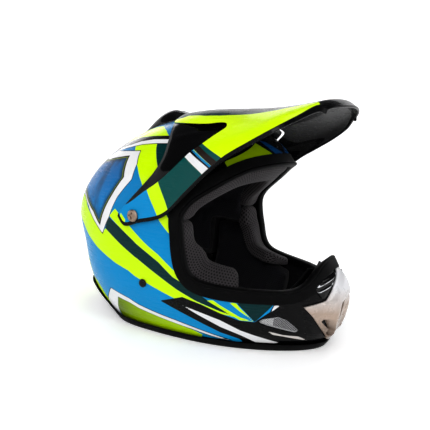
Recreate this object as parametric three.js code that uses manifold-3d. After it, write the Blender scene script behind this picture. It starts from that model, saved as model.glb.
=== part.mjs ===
// Motocross helmet. Millimetres, +Z up, the face looks along -Y, the wearer's right side is at -X.
// The helmet stands on its lower rim trim. Everything is modelled about a datum in the rim plane and the
// whole group is moved at the end, so that the origin is the bottom centre of its bounding box.
import * as THREE from "three";
import { mergeVertices } from "three/addons/utils/BufferGeometryUtils.js";
import Module from "manifold-3d";

const wasm = await Module();
wasm.setup();

// ---------------------------------------------------------------- driving dimensions
const CROWN_Z = 264.6; // top of the shell
const WIDEST_Z = 130; // height of the widest section
const HALF_WIDTH = 126;
const FRONT_REACH = 143; // brow, from the section centre
const REAR_REACH = 151;
const BASE_CENTRE_Y = 12; // centre of the sections up to WIDEST_Z
const CROWN_CENTRE_Y = -14.5; // centre of the sections at the crown
const DOME_POWER = 2.1;
const SIDE_POWER = 2.2; // roundness of the sections at the sides and back
const CHIN_POWER = 1.78; // and at the chin, which is more pointed
const SHELL = 4; // laminate thickness
const FOAM_INSET = 5; // outer face of the impact liner below the shell's outer face
const LINER_INSET = 36.4; // outer face of the comfort liner
const CAVITY_INSET = 46; // inner face of the comfort liner
const GAP = 0.4; // between touching pieces
const PIVOT = { y: 15, z: 145 }; // side screws, about which the peak tilts
const PEAK_THICK = 3;
const PEAK_CLEAR = 1.6; // between the peak and the sides of the shell
const RIVET = { y: 0, z: 67 }; // chin strap anchors
const SCREW_HEAD_R = 7;
const SHANK_R = 2.8;
const HOLE_R = 3.2;
const STRAP_WIDE = 24;
const STRAP_THICK = 1.8;

// Height against half width, and against reach from the section centre.
const WIDTH_BY_HEIGHT = [[-20, 88], [0, 94.5], [30, 110], [70, 123.5], [105, 125.7], [WIDEST_Z, HALF_WIDTH]];
const REAR_BY_HEIGHT = [[-20, 72], [0, 88], [40, 122], [90, 138], [WIDEST_Z, REAR_REACH]];
const FRONT_BY_HEIGHT = [
  [-20, 190], [0, 198], [25, 210], [60, 214], [90, 208], [110, 192], [122, 165], [WIDEST_Z, FRONT_REACH],
];

// Side outline (y, z) of the eye port, from the brow round the temple to the nose.
const PORT = [
  [-150, 223], [-124, 221], [-108, 216.5], [-94, 210], [-84, 203], [-74, 195], [-64, 187], [-54.5, 179],
  [-45.5, 170.5], [-39, 161], [-36, 152], [-36.5, 143], [-39.5, 127], [-43, 112], [-46.5, 98], [-51, 88],
  [-58, 80.5], [-68, 76], [-88, 73], [-113, 72], [-134, 72], [-152, 72], [-166, 75], [-174, 82],
  [-179, 92], [-183, 103], [-190, 110], [-215, 112],
];
const PORT_CENTRE = [-110, 130];

// Stations of the peak from its rear edge to its tip, as points (x, y, z) of the wearer's left half:
// the lower edge of the skirt, the crease above it, the middle of the side, the ridge and the centre.
const PEAK_STATIONS = [
  [[127.5, 37.5, 141], [128.5, 37, 144], [112, -3, 206], [64, 8, 256], [0, 12, 269]],
  [[130, 27, 132], [130.5, 27, 135], [114, -9, 207], [65, 0, 258.5], [0, 2, 270.8]],
  [[131, 8, 138], [131.5, 8, 141], [115, -16, 209], [65, -10, 261], [0, -12, 273]],
  [[129.5, -24, 149.5], [130, -24, 152.5], [115, -30, 213], [66, -24, 263.5], [0, -30, 275.5]],
  [[128, -50, 177], [128.5, -49.5, 180], [115, -50, 222], [68, -44, 265.5], [0, -48, 277.2]],
  [[127.5, -70, 199], [128, -69.5, 202], [115, -70, 233], [70, -66, 266.5], [0, -68, 279]],
  [[127, -92, 219.5], [127, -91.5, 222.5], [114, -92, 244], [72, -90, 268.5], [0, -90, 281]],
  [[126, -115, 235], [126, -114.5, 238], [112, -114, 254.5], [72, -113, 273], [0, -114, 284]],
  [[121, -141, 252.5], [120.5, -140.5, 255.5], [106, -139, 267.5], [68, -138, 280], [0, -140, 289]],
  [[106, -160, 266], [105, -159, 270], [90, -159, 279], [58, -160, 287.5], [0, -162, 293.5]],
  [[80, -174, 277.5], [78, -172, 283], [66, -173, 288], [42, -176, 292.5], [0, -180, 295.5]],
  [[72, -178, 276], [70, -178, 279.5], [60, -182, 283.5], [40, -187, 287], [0, -191, 289.5]],
];
// Side outline (y, z) of the air scoop's window between the peak's top and its arm, open at the back.
const SCOOP_WINDOW = [
  [60, 253.5], [26, 253.5], [-17, 254], [-44, 255], [-67, 258], [-73, 257], [-76, 253.5], [-66, 243],
  [-55, 233], [-43, 223], [-36, 215], [-22, 198], [-9, 185], [6, 173.5], [24, 158], [36, 152], [60, 152],
];
const CHIN_VENT = [[-129, 39], [-135, 43.5], [-150, 47], [-158, 43], [-169, 30], [-166, 25.5], [-150, 31], [-138, 35]];
const REAR_VENT = [[-9, -5], [7, -7], [11, 0], [8, 6], [-7, 5]]; // about its own centre

// ---------------------------------------------------------------- materials
const paint = (color, roughness, metalness = 0) => new THREE.MeshStandardMaterial({ color, roughness, metalness });
const MATERIALS = {
  shellPaint: paint(0x0a86c8, 0.15),
  peakPaint: paint(0xc8f000, 0.2),
  silver: paint(0xb9b4ac, 0.32, 0.6),
  blackGloss: paint(0x060606, 0.12),
  blackPlastic: paint(0x111111, 0.45),
  rubber: paint(0x0d0d0e, 0.7),
  foam: paint(0x15161a, 0.9),
  fabric: paint(0x24242a, 0.95),
  meshFabric: paint(0x3a3a3d, 0.9),
  wire: paint(0x77787a, 0.5, 0.4),
  webbing: paint(0x0c0c0d, 0.9),
  steel: paint(0xb08d72, 0.25, 0.9),
};

// ---------------------------------------------------------------- small helpers
const clamp01 = (v) => Math.min(1, Math.max(0, v));
const smooth = (v) => clamp01(v) ** 2 * (3 - 2 * clamp01(v));
const span = (from, to, steps) => Array.from({ length: steps + 1 }, (_, i) => from + ((to - from) * i) / steps);

// Smooth, monotone interpolation in a table of [height, value].
function lookUp(table, height) {
  const z = Math.min(Math.max(height, table[0][0]), table.at(-1)[0]);
  let i = 0;
  while (i < table.length - 2 && table[i + 1][0] <= z) i += 1;
  const rise = (j) => (table[j + 1][1] - table[j][1]) / (table[j + 1][0] - table[j][0]);
  const slope = (j) => {
    if (j === 0) return rise(0);
    if (j === table.length - 1) return 0;
    const [before, after] = [rise(j - 1), rise(j)];
    return before * after <= 0 ? 0 : (2 * before * after) / (before + after);
  };
  const h = table[i + 1][0] - table[i][0];
  const t = (z - table[i][0]) / h;
  return (
    (2 * t ** 3 - 3 * t * t + 1) * table[i][1] +
    (t ** 3 - 2 * t * t + t) * h * slope(i) +
    (3 * t * t - 2 * t ** 3) * table[i + 1][1] +
    (t ** 3 - t * t) * h * slope(i + 1)
  );
}

// ---------------------------------------------------------------- the shell's surface
// Half width, reaches and centre of the horizontal section at a height, for the surface `inset` below the outer one.
function section(z, inset) {
  const up = clamp01((z - WIDEST_Z) / (CROWN_Z - inset - WIDEST_Z));
  const centre = BASE_CENTRE_Y + (CROWN_CENTRE_Y - BASE_CENTRE_Y) * smooth(up);
  if (z <= WIDEST_Z) {
    return {
      centre,
      width: lookUp(WIDTH_BY_HEIGHT, z) - inset,
      front: lookUp(FRONT_BY_HEIGHT, z) - inset,
      rear: lookUp(REAR_BY_HEIGHT, z) - inset,
    };
  }
  const dome = (power) => Math.max(1e-6, 1 - up ** power) ** (1 / power);
  return {
    centre,
    width: (HALF_WIDTH - inset) * dome(DOME_POWER),
    front: (FRONT_REACH - inset) * dome(DOME_POWER),
    rear: (REAR_REACH - inset) * dome(2),
  };
}

function sectionPower(z, sine) {
  const chin = CHIN_POWER + (SIDE_POWER - CHIN_POWER) * clamp01((z - 90) / 60);
  return SIDE_POWER + (chin - SIDE_POWER) * smooth(-sine);
}

// Point of the surface at a height and a section angle: 0 is the left side, PI / 2 the back.
function surfacePoint(z, angle, inset = 0) {
  const s = section(z, inset);
  const [c, n] = [Math.cos(angle), Math.sin(angle)];
  const power = sectionPower(z, n);
  const k = (Math.abs(c) ** power + Math.abs(n) ** power) ** (-1 / power);
  return new THREE.Vector3(s.width * k * c, s.centre + (n < 0 ? s.front : s.rear) * k * n, z);
}

function bisect(low, high, isLow) {
  let [a, b] = [low, high];
  for (let i = 0; i < 40; i += 1) {
    const middle = (a + b) / 2;
    if (isLow(middle)) a = middle;
    else b = middle;
  }
  return (a + b) / 2;
}

// Left point of the surface with a given y and z, or null where the section doesn't reach that y.
function sidePoint(y, z, inset = 0) {
  const s = section(z, inset);
  if (y <= s.centre - s.front || y >= s.centre + s.rear) return null;
  return surfacePoint(z, bisect(-Math.PI / 2, Math.PI / 2, (a) => surfacePoint(z, a, inset).y < y), inset);
}

// Front point of the surface with a given x and z.
function frontPoint(x, z, inset = 0) {
  const angle = bisect(-Math.PI / 2, 0, (a) => surfacePoint(z, a, inset).x < Math.abs(x));
  const p = surfacePoint(z, angle, inset);
  return new THREE.Vector3(x, p.y, z);
}

// Top point of the dome above x and y.
function topPoint(x, y, rise = 0) {
  const z = bisect(WIDEST_Z, CROWN_Z, (h) => {
    const p = sidePoint(y, h);
    return p !== null && p.x > Math.abs(x);
  });
  return new THREE.Vector3(x, y, z + rise);
}

// ---------------------------------------------------------------- geometry builders
function signedVolume(points, triangles) {
  const cross = new THREE.Vector3();
  return triangles.reduce((sum, [a, b, c]) => sum + points[a].dot(cross.crossVectors(points[b], points[c])), 0) / 6;
}

// A closed mesh from points and triangles, with its faces turned outwards.
function closedGeometry(points, triangles) {
  const turned = signedVolume(points, triangles) < 0 ? triangles.map(([a, b, c]) => [a, c, b]) : triangles;
  const geometry = new THREE.BufferGeometry().setFromPoints(points);
  geometry.setIndex(turned.flat());
  return geometry;
}

// A thick patch between two equal grids of points.
function patchGeometry(outer, inner) {
  const [rows, columns] = [outer.length, outer[0].length];
  const points = [...outer.flat(), ...inner.flat()];
  const at = (layer, i, j) => layer * rows * columns + i * columns + j;
  const triangles = [];
  const quad = (a, b, c, d) => triangles.push([a, b, c], [a, c, d]);
  for (let i = 0; i + 1 < rows; i += 1) {
    for (let j = 0; j + 1 < columns; j += 1) {
      quad(at(0, i, j), at(0, i + 1, j), at(0, i + 1, j + 1), at(0, i, j + 1));
      quad(at(1, i, j), at(1, i, j + 1), at(1, i + 1, j + 1), at(1, i + 1, j));
    }
    quad(at(0, i, 0), at(1, i, 0), at(1, i + 1, 0), at(0, i + 1, 0));
    quad(at(0, i + 1, columns - 1), at(1, i + 1, columns - 1), at(1, i, columns - 1), at(0, i, columns - 1));
  }
  for (let j = 0; j + 1 < columns; j += 1) {
    quad(at(0, 0, j + 1), at(1, 0, j + 1), at(1, 0, j), at(0, 0, j));
    quad(at(0, rows - 1, j), at(1, rows - 1, j), at(1, rows - 1, j + 1), at(0, rows - 1, j + 1));
  }
  return closedGeometry(points, triangles);
}

// A closed ring swept through frames of { p, u, v } with a section of [u, v] points.
function ringGeometry(frames, outline) {
  const points = frames.flatMap(({ p, u, v }) =>
    outline.map(([a, b]) => p.clone().addScaledVector(u, a).addScaledVector(v, b)),
  );
  const n = outline.length;
  const triangles = [];
  frames.forEach((_, i) => {
    const next = (i + 1) % frames.length;
    for (let j = 0; j < n; j += 1) {
      const k = (j + 1) % n;
      triangles.push([i * n + j, next * n + j, next * n + k], [i * n + j, next * n + k, i * n + k]);
    }
  });
  return closedGeometry(points, triangles);
}

// The whole closed surface, from a flat bottom to the crown.
function eggGeometry(inset, bottom, around, low, up) {
  const heights = [
    ...span(bottom, WIDEST_Z, low),
    ...span(0, Math.PI / 2, up).slice(1, -1).map((a) => WIDEST_Z + (CROWN_Z - inset - WIDEST_Z) * Math.sin(a)),
  ];
  const points = heights.flatMap((z) =>
    span(0, 2 * Math.PI, around).slice(0, -1).map((a) => surfacePoint(z, a - Math.PI / 2, inset)),
  );
  const floor = points.push(new THREE.Vector3(0, BASE_CENTRE_Y, bottom)) - 1;
  const crown = points.push(new THREE.Vector3(0, CROWN_CENTRE_Y, CROWN_Z - inset)) - 1;
  const triangles = [];
  const last = (heights.length - 1) * around;
  for (let j = 0; j < around; j += 1) {
    const k = (j + 1) % around;
    for (let i = 0; i < last; i += around) {
      triangles.push([i + j, i + k, i + around + k], [i + j, i + around + k, i + around + j]);
    }
    triangles.push([floor, k, j], [crown, last + j, last + k]);
  }
  return closedGeometry(points, triangles);
}

const extrude = (outline, depth) =>
  new THREE.ExtrudeGeometry(new THREE.Shape(outline.map(([a, b]) => new THREE.Vector2(a, b))), {
    depth,
    bevelEnabled: false,
  });
const X = new THREE.Vector3(1, 0, 0);
const Y = new THREE.Vector3(0, 1, 0);
const Z = new THREE.Vector3(0, 0, 1);
const ALONG_X = new THREE.Matrix4().makeBasis(Y, Z, X);
const ALONG_Y = new THREE.Matrix4().makeBasis(X, Z, Y.clone().negate());
const prismX = (outline, x0, x1) => extrude(outline, x1 - x0).applyMatrix4(ALONG_X).translate(x0, 0, 0);
const prismY = (outline, y0, y1) => extrude(outline, y1 - y0).applyMatrix4(ALONG_Y).translate(0, y1, 0);
const boxOf = ([x0, x1], [y0, y1], [z0, z1]) =>
  new THREE.BoxGeometry(x1 - x0, y1 - y0, z1 - z0).translate((x0 + x1) / 2, (y0 + y1) / 2, (z0 + z1) / 2);
const rodX = (radius, x0, x1, y, z, sides = 20) =>
  new THREE.CylinderGeometry(radius, radius, x1 - x0, sides).rotateZ(Math.PI / 2).translate((x0 + x1) / 2, y, z);
const rodZ = (radius, z0, z1, x, y, sides = 20) =>
  new THREE.CylinderGeometry(radius, radius, z1 - z0, sides).rotateX(Math.PI / 2).translate(x, y, (z0 + z1) / 2);

// Moves each point of a closed outline outwards by a distance.
function grownOutline(outline, by) {
  const area = outline.reduce((sum, [a, b], i) => {
    const [c, d] = outline[(i + 1) % outline.length];
    return sum + a * d - b * c;
  }, 0);
  const side = Math.sign(area);
  return outline.map(([a, b], i) => {
    const before = outline[(i + outline.length - 1) % outline.length];
    const after = outline[(i + 1) % outline.length];
    const n1 = new THREE.Vector2(b - before[1], before[0] - a).normalize();
    const n2 = new THREE.Vector2(after[1] - b, a - after[0]).normalize();
    const n = n1.clone().add(n2).normalize();
    const reach = (side * by) / Math.max(0.5, n.dot(n1));
    return [a + n.x * reach, b + n.y * reach];
  });
}

// ---------------------------------------------------------------- booleans
function solidOf(geometry) {
  const bare = new THREE.BufferGeometry().setAttribute("position", geometry.getAttribute("position").clone());
  if (geometry.index) bare.setIndex(geometry.index.clone());
  const merged = mergeVertices(bare, 1e-4);
  return new wasm.Manifold(
    new wasm.Mesh({
      numProp: 3,
      vertProperties: merged.attributes.position.array,
      triVerts: new Uint32Array(merged.index.array),
    }),
  );
}

function geometryOf(solid) {
  const mesh = solid.getMesh();
  const geometry = new THREE.BufferGeometry();
  geometry.setAttribute("position", new THREE.Float32BufferAttribute(mesh.vertProperties, 3));
  geometry.setIndex(Array.from(mesh.triVerts));
  return geometry;
}

const cut = (geometry, ...tools) =>
  geometryOf(tools.reduce((solid, tool) => solid.subtract(solidOf(tool)), solidOf(geometry)));
const common = (geometry, ...others) =>
  geometryOf(others.reduce((solid, other) => solid.intersect(solidOf(other)), solidOf(geometry)));
const joined = (geometry, ...others) =>
  geometryOf(others.reduce((solid, other) => solid.add(solidOf(other)), solidOf(geometry)));

function mirrored(geometry) {
  const copy = geometry.clone().applyMatrix4(new THREE.Matrix4().makeScale(-1, 1, 1));
  const index = Array.from(copy.index ? copy.index.array : span(0, copy.getAttribute("position").count - 1,
    copy.getAttribute("position").count - 1));
  for (let i = 0; i < index.length; i += 3) [index[i + 1], index[i + 2]] = [index[i + 2], index[i + 1]];
  return copy.setIndex(index);
}

// ---------------------------------------------------------------- cutters that several pieces share
const portOutline = [...PORT, [-320, 112], [-320, 223]];
const portCutter = prismX(portOutline, -200, 200);
const clearPort = prismX(grownOutline(portOutline, 7), -200, 200); // leaves room for the trim's inner lip

// The bottom rim rises at the back, to clear the neck.
const RIM_RISE = { from: 44, to: 106, height: 30 };
const rimZ = (y) => RIM_RISE.height * smooth((y - RIM_RISE.from) / (RIM_RISE.to - RIM_RISE.from));
const belowRim = (height) =>
  prismX([[-260, -60], [200, -60], [200, RIM_RISE.height + height],
    ...span(RIM_RISE.to, RIM_RISE.from, 8).map((y) => [y, rimZ(y) + height]), [-260, height]], -200, 200);
const RIM_EDGE = 4.5; // the shell's edge above the rim plane, inside the trim

// ---------------------------------------------------------------- shell and liners
function outerShell() {
  const body = cut(
    eggGeometry(0, -18, 40, 7, 9),
    eggGeometry(SHELL, -19, 40, 7, 9),
    portCutter,
    belowRim(RIM_EDGE),
    prismX(CHIN_VENT, -140, -20),
    prismX(CHIN_VENT, 20, 140),
    prismY([[-20, 36], [-8, 30], [8, 30], [20, 36], [20, 66], [8, 72], [-8, 72], [-20, 66]], -240, -150),
    rodX(HOLE_R, -140, 140, PIVOT.y, PIVOT.z),
    rodX(HOLE_R, -140, 140, RIVET.y, RIVET.z),
  );
  return cut(body, ...[-1, 1].map((side) => rearVentPrism(side, 0)));
}

const REAR_VENT_AT = { x: 25, z: 150 };
function rearVentPrism(side, grow) {
  const outline = grownOutline(REAR_VENT, grow).map(([a, b]) => [side * (REAR_VENT_AT.x + a * 1.6), REAR_VENT_AT.z + b * 1.4]);
  return prismY(side > 0 ? outline : outline.reverse(), 60, 180);
}

function impactLiner() {
  return cut(
    eggGeometry(FOAM_INSET, 62, 40, 4, 8),
    eggGeometry(LINER_INSET - GAP, 60, 32, 4, 7),
    clearPort,
    boxOf([-200, 200], [-260, 19], [0, 118]),
    ...[-1, 1].map((side) => rodX(9, side > 0 ? 100 : -130, side > 0 ? 130 : -100, PIVOT.y, PIVOT.z, 16)),
  );
}

function comfortLiner() {
  return cut(
    eggGeometry(LINER_INSET + GAP, 64, 32, 4, 7),
    eggGeometry(CAVITY_INSET, 60, 28, 4, 6),
    clearPort,
    boxOf([-200, 200], [-260, 19], [0, 119]),
  );
}

// Side outline of a cheek pad: it follows the port down and then runs forwards inside the chin bar.
const PAD_OUTLINE = [
  [18, 117], [18, 17], [-60, 17], [-98, 19], [-112, 34], [-112, 62], [-88, 66.5], [-65, 71], [-48.5, 82],
  [-41, 97], [-37.5, 111], [-37, 117],
];
const STRAP_SLOT = [[-130, 84], [-106, 84], [-101, 46], [-92, 27], [-82, 14], [-82, -5], [-130, -5]];
function cheekPad() {
  return cut(
    common(eggGeometry(5.2, -10, 36, 8, 6), prismX(PAD_OUTLINE, -140, -20)),
    eggGeometry(38, -12, 32, 8, 6),
    prismY(STRAP_SLOT, -22, 22),
  );
}

const NECK_ROLL = [[22, 60], [22, 16], [44, 18], [62, 22], [80, 29], [96, 40], [112, 58], [112, 60]];
const neckRoll = () =>
  cut(common(eggGeometry(9, -10, 32, 8, 4), prismX(NECK_ROLL, -140, 140)), eggGeometry(33, -12, 28, 8, 4));

// Chin bar foam, split in the middle by the mouth vent's opening.
function chinFoam() {
  const angles = span(-Math.PI / 2 - 0.6, -Math.PI / 2 + 0.6, 14);
  const heights = span(15, 64, 4);
  const layer = (inset) => heights.map((z) => angles.map((a) => surfacePoint(z, a, inset)));
  return cut(patchGeometry(layer(9.5), layer(25)), boxOf([-20, 20], [-230, -120], [32, 58]), clearPort);
}

// ---------------------------------------------------------------- rubber trims
function loopFrames(points, inward, normalAt) {
  return points.map((p, i) => {
    const before = points[(i + points.length - 1) % points.length];
    const after = points[(i + 1) % points.length];
    const along = after.clone().sub(before).normalize();
    const v = normalAt(p);
    v.addScaledVector(along, -v.dot(along)).normalize();
    const u = along.clone().cross(v).normalize();
    if (u.dot(p.clone().sub(inward)) < 0) u.negate();
    return { p, u, v };
  });
}

function resample(points, count) {
  return new THREE.CatmullRomCurve3(points, true, "chordal").getSpacedPoints(count).slice(0, -1);
}

// The shell's cut edge round the eye port, in the middle of the laminate.
function portLoop(count) {
  const profile = new THREE.CatmullRomCurve3(PORT.map(([y, z]) => new THREE.Vector3(0, y, z)));
  const left = profile.getPoints(700).map((p) => sidePoint(p.y, p.z, SHELL / 2)).filter((p) => p !== null);
  const half = [left[0].clone().setX(0), ...left.filter((p, i) => p.x > 5 && i % 4 === 0), left.at(-1).clone().setX(0)];
  const right = half.slice(1, -1).reverse().map((p) => p.clone().setX(-p.x));
  return resample([...half, ...right], count);
}

function surfaceNormal(p) {
  const height = (q) => {
    const s = section(q.z, SHELL / 2);
    const reach = q.y < s.centre ? s.front : s.rear;
    const [a, b] = [q.x / s.width, (q.y - s.centre) / reach];
    const angle = Math.atan2(b, a);
    const power = sectionPower(q.z, Math.sin(angle));
    return Math.hypot(a, b) * (Math.abs(Math.cos(angle)) ** power + Math.abs(Math.sin(angle)) ** power) ** (1 / power);
  };
  const slope = (axis) => height(p.clone().addScaledVector(axis, 1.5)) - height(p.clone().addScaledVector(axis, -1.5));
  return new THREE.Vector3(slope(X), slope(Y), slope(Z)).normalize();
}

function eyePortTrim() {
  const centre = new THREE.Vector3(0, ...PORT_CENTRE);
  const outline = [[-6, -5], [3, -6.2], [3, -4.3], [-2, -4.3], [-2, 2.5], [6, 2.5], [6, 3.6], [-5.5, 4.6]];
  return ringGeometry(loopFrames(portLoop(56), centre, surfaceNormal), outline);
}

function rimTrim() {
  const around = 52;
  const angles = span(0, 2 * Math.PI, around).slice(0, -1);
  const loop = angles.map((a) => {
    let p = surfacePoint(RIM_EDGE, a, SHELL / 2);
    for (let i = 0; i < 12; i += 1) p = surfacePoint(rimZ(p.y) + RIM_EDGE, a, SHELL / 2);
    return p;
  });
  const frames = loop.map((p, i) => {
    const along = loop[(i + 1) % around].clone().sub(loop[(i + around - 1) % around]).setZ(0).normalize();
    const lean = surfacePoint(p.z + 5, angles[i], SHELL / 2).sub(p).divideScalar(5);
    return { p, u: along.clone().cross(Z).normalize(), v: lean };
  });
  const bottom = -RIM_EDGE;
  const outline = [[-5.8, bottom], [5.4, bottom], [5.8, 5], [4.1, 5], [4.1, -1.4], [-4, -1.4], [-4, 4], [-5.8, 4]];
  return ringGeometry(frames, outline);
}

// ---------------------------------------------------------------- chin and crown fittings
// Half width of the muzzle cover by height: a shield with side points.
const COVER_HALF = [[11, 2], [16, 14], [33, 31], [48, 43], [60, 54], [66, 31], [80, 20], [98, 5]];
const coverHalf = (z) => {
  const i = Math.max(0, COVER_HALF.findLastIndex(([h]) => h <= z));
  const [a, b] = [COVER_HALF[i], COVER_HALF[Math.min(i + 1, COVER_HALF.length - 1)]];
  return a === b ? a[1] : a[1] + ((b[1] - a[1]) * (z - a[0])) / (b[0] - a[0]);
};
// Two lobes either side of a centre valley.
const coverRise = (x, z) =>
  3 + 6 * Math.exp(-(((Math.abs(x) - 17) / 12) ** 2)) * smooth((z - 8) / 22) * smooth((104 - z) / 46) * clamp01((coverHalf(z) - Math.abs(x)) / 9);
function muzzleCover() {
  const heights = [11, 14, 18, 25, 33, 42, 51, 60, 62, 66, 73, 82, 90, 98];
  const columns = span(-1, 1, 14);
  const layer = (inset) => heights.map((z) => columns.map((c) => frontPoint(c * coverHalf(z), z, inset(c * coverHalf(z), z))));
  const slot = prismY([[-3, 50], [0, 34], [3, 50], [0, 68]], -240, -150);
  const lower = [[10, 22], [14, 22], [26, 36], [25, 40], [21, 39], [10, 27]];
  return cut(
    patchGeometry(layer((x, z) => -coverRise(x, z)), layer(() => -1)),
    slot,
    prismY(lower, -240, -150),
    prismY(lower.map(([x, z]) => [-x, z]).reverse(), -240, -150),
  );
}

function mouthGrille() {
  const heights = span(27, 75, 5);
  const layer = (inset) => heights.map((z) => span(-26, 26, 6).map((x) => frontPoint(x, z, inset)));
  const slots = [-15, -9, -3, 3, 9, 15].map((x) => boxOf([x - 1.9, x + 1.9], [-230, -150], [34, 68]));
  return cut(patchGeometry(layer(SHELL + 1.8), layer(SHELL + 3.8)), ...slots);
}

// Gloss insert between the muzzle cover and the eye port trim.
function noseVent() {
  const outline = [[8, 97], [34, 91], [44, 80], [37, 69], [33, 69], [22, 82]];
  const rows = span(66, 100, 5);
  const layer = (inset) => rows.map((z) => span(4, 48, 6).map((x) => frontPoint(x, z, inset)));
  return common(patchGeometry(layer(-4), layer(-1)), prismY(outline, -240, -120));
}

// Soft deflector that stands up inside the trim over the nose.
function noseGuard() {
  const [bottom, top] = [70, 97];
  const half = (z) => 46 - (z - bottom) * 0.8;
  const layer = (inset) => span(bottom, top, 4).map((z) => span(-1, 1, 8).map((c) => {
    const p = frontPoint(c * half(z), 84, inset);
    return new THREE.Vector3(p.x, p.y + (z - bottom) * 0.1, z);
  }));
  return patchGeometry(layer(21), layer(23.5));
}

function chinVentMesh() {
  const skin = cut(eggGeometry(1.6, 0, 48, 8, 5), eggGeometry(2.8, -5, 48, 8, 5));
  return common(skin, prismX(grownOutline(CHIN_VENT, -0.5), 20, 140));
}

function rearVentMesh() {
  const skin = cut(eggGeometry(1.4, 100, 48, 3, 10), eggGeometry(3, 90, 48, 4, 10));
  return common(skin, rearVentPrism(1, -0.5));
}

// Exhaust scoop behind the peak on the crown.
function crownScoop() {
  const [front, back, top] = [24, 86, 50];
  const half = (y) => 32 - ((y - 40) / 46) ** 2 * 12;
  const crest = (y) => (y < top ? 5.5 + 11.5 * Math.sin((Math.PI / 2) * ((y - front) / (top - front)))
    : 2 + 15 * Math.cos((Math.PI / 2) * ((y - top) / (back - top))));
  const rows = span(front, back, 8);
  const layer = (height) => rows.map((y) => span(-1, 1, 8).map((c) => topPoint(c * half(y), y, height(c, y))));
  return patchGeometry(layer((c, y) => 2 + (crest(y) - 2) * (1 - c ** 4)), layer(() => 0.8));
}

// ---------------------------------------------------------------- peak
// The outer surface of the peak, as rows from back to front of points from right to left.
const STATION_COLUMNS = [[0, 1], [1, 3], [2, 3], [3, 2]]; // line, and steps from it to the next one
function peakGrid(steps) {
  const lines = [0, 1, 2, 3, 4].map(
    (k) => new THREE.CatmullRomCurve3(PEAK_STATIONS.map((s) => new THREE.Vector3(...s[k])), false, "centripetal"),
  );
  return span(0, 1, steps).map((t) => {
    const knots = lines.map((line) => line.getPoint(t));
    const mirror = knots[3].clone().setX(-knots[3].x);
    const across = new THREE.CatmullRomCurve3([knots[1], knots[2], knots[3], knots[4], mirror], false, "centripetal");
    const half = STATION_COLUMNS.flatMap(([from, count]) =>
      span(0, 1, count).slice(0, -1).map((s) => (from === 0 ? knots[0].clone() : across.getPoint((from - 1 + s) / 4))),
    );
    for (const p of half) {
      const wall = sidePoint(p.y, p.z);
      if (wall !== null) p.x = Math.max(p.x, wall.x + PEAK_THICK + PEAK_CLEAR);
    }
    const right = half.map((p) => p.clone().setX(-p.x));
    return [...right, knots[4].clone(), ...half.reverse()];
  });
}

function offsetGrid(grid, depthAt) {
  return grid.map((row, i) => row.map((p, j) => {
    const along = grid[Math.min(i + 1, grid.length - 1)][j].clone().sub(grid[Math.max(i - 1, 0)][j]);
    const across = row[Math.min(j + 1, row.length - 1)].clone().sub(row[Math.max(j - 1, 0)]);
    const inward = across.cross(along).normalize();
    return p.clone().addScaledVector(inward, depthAt(p));
  }));
}

const toPivot = (geometry) => geometry.translate(0, -PIVOT.y, -PIVOT.z);
const peakRows = peakGrid(14);

function peakBody() {
  const sheet = patchGeometry(peakRows, offsetGrid(peakRows, () => PEAK_THICK));
  const sides = [-1, 1].flatMap((side) => [
    rodX(HOLE_R, side > 0 ? 110 : -150, side > 0 ? 150 : -110, PIVOT.y, PIVOT.z),
    rodX(SCREW_HEAD_R + 1, side > 0 ? 130.2 : -150, side > 0 ? 150 : -130.2, PIVOT.y, PIVOT.z),
    rodX(10, side > 0 ? 110 : -128.2, side > 0 ? 128.2 : -110, PIVOT.y, PIVOT.z),
    prismX(SCOOP_WINDOW, side > 0 ? 50 : -160, side > 0 ? 160 : -50),
  ]);
  return toPivot(cut(sheet, ...sides));
}

// Dark insert that closes the window, deeper towards the front.
function peakScoop() {
  const depth = (p) => 1 + 7 * smooth(-p.y / 60);
  const outer = offsetGrid(peakRows, depth);
  const inner = offsetGrid(peakRows, (p) => depth(p) + 2);
  return toPivot(common(patchGeometry(outer, inner), prismX(grownOutline(SCOOP_WINDOW, -0.6), 50, 160)));
}

// ---------------------------------------------------------------- fasteners
// Solid of revolution about the X axis, from [radius, x] points.
const turnedX = (profile) =>
  new THREE.LatheGeometry(profile.map(([r, h]) => new THREE.Vector2(r, h)), 20).rotateZ(-Math.PI / 2);

// Cross-head screw along +X with its seat at x = 0.
function screw(length) {
  const head = [[SCREW_HEAD_R, 0], [SCREW_HEAD_R, 1.4], [5.4, 2.9], [0, 3.4]];
  const turned = turnedX([[0, -length], [SHANK_R, -length], [SHANK_R, 0], ...head]);
  const cross = [boxOf([1.6, 6], [-4, 4], [-0.8, 0.8]), boxOf([1.6, 6], [-0.8, 0.8], [-4, 4])];
  return cut(turned, ...cross);
}

const ring = (outer, inner, x0, x1) => cut(rodX(outer, x0, x1, 0, 0, 20), rodX(inner, x0 - 1, x1 + 1, 0, 0, 20));

// Threaded insert: a flange and a barrel round the screw's shank, along X.
const threadInsert = () => joined(ring(8, HOLE_R, 0, 1.8), ring(5, HOLE_R, -4, 0.2));

function strapRivet() {
  const [end, inside] = [-11.4, -10.3];
  const cap = [[5, 0.3], [4.6, 1.6], [2.8, 2.6], [0, 2.9]];
  return turnedX([[0, end], [4.6, end], [4.6, inside], [SHANK_R, inside], [SHANK_R, 0.3], ...cap]);
}

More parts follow.
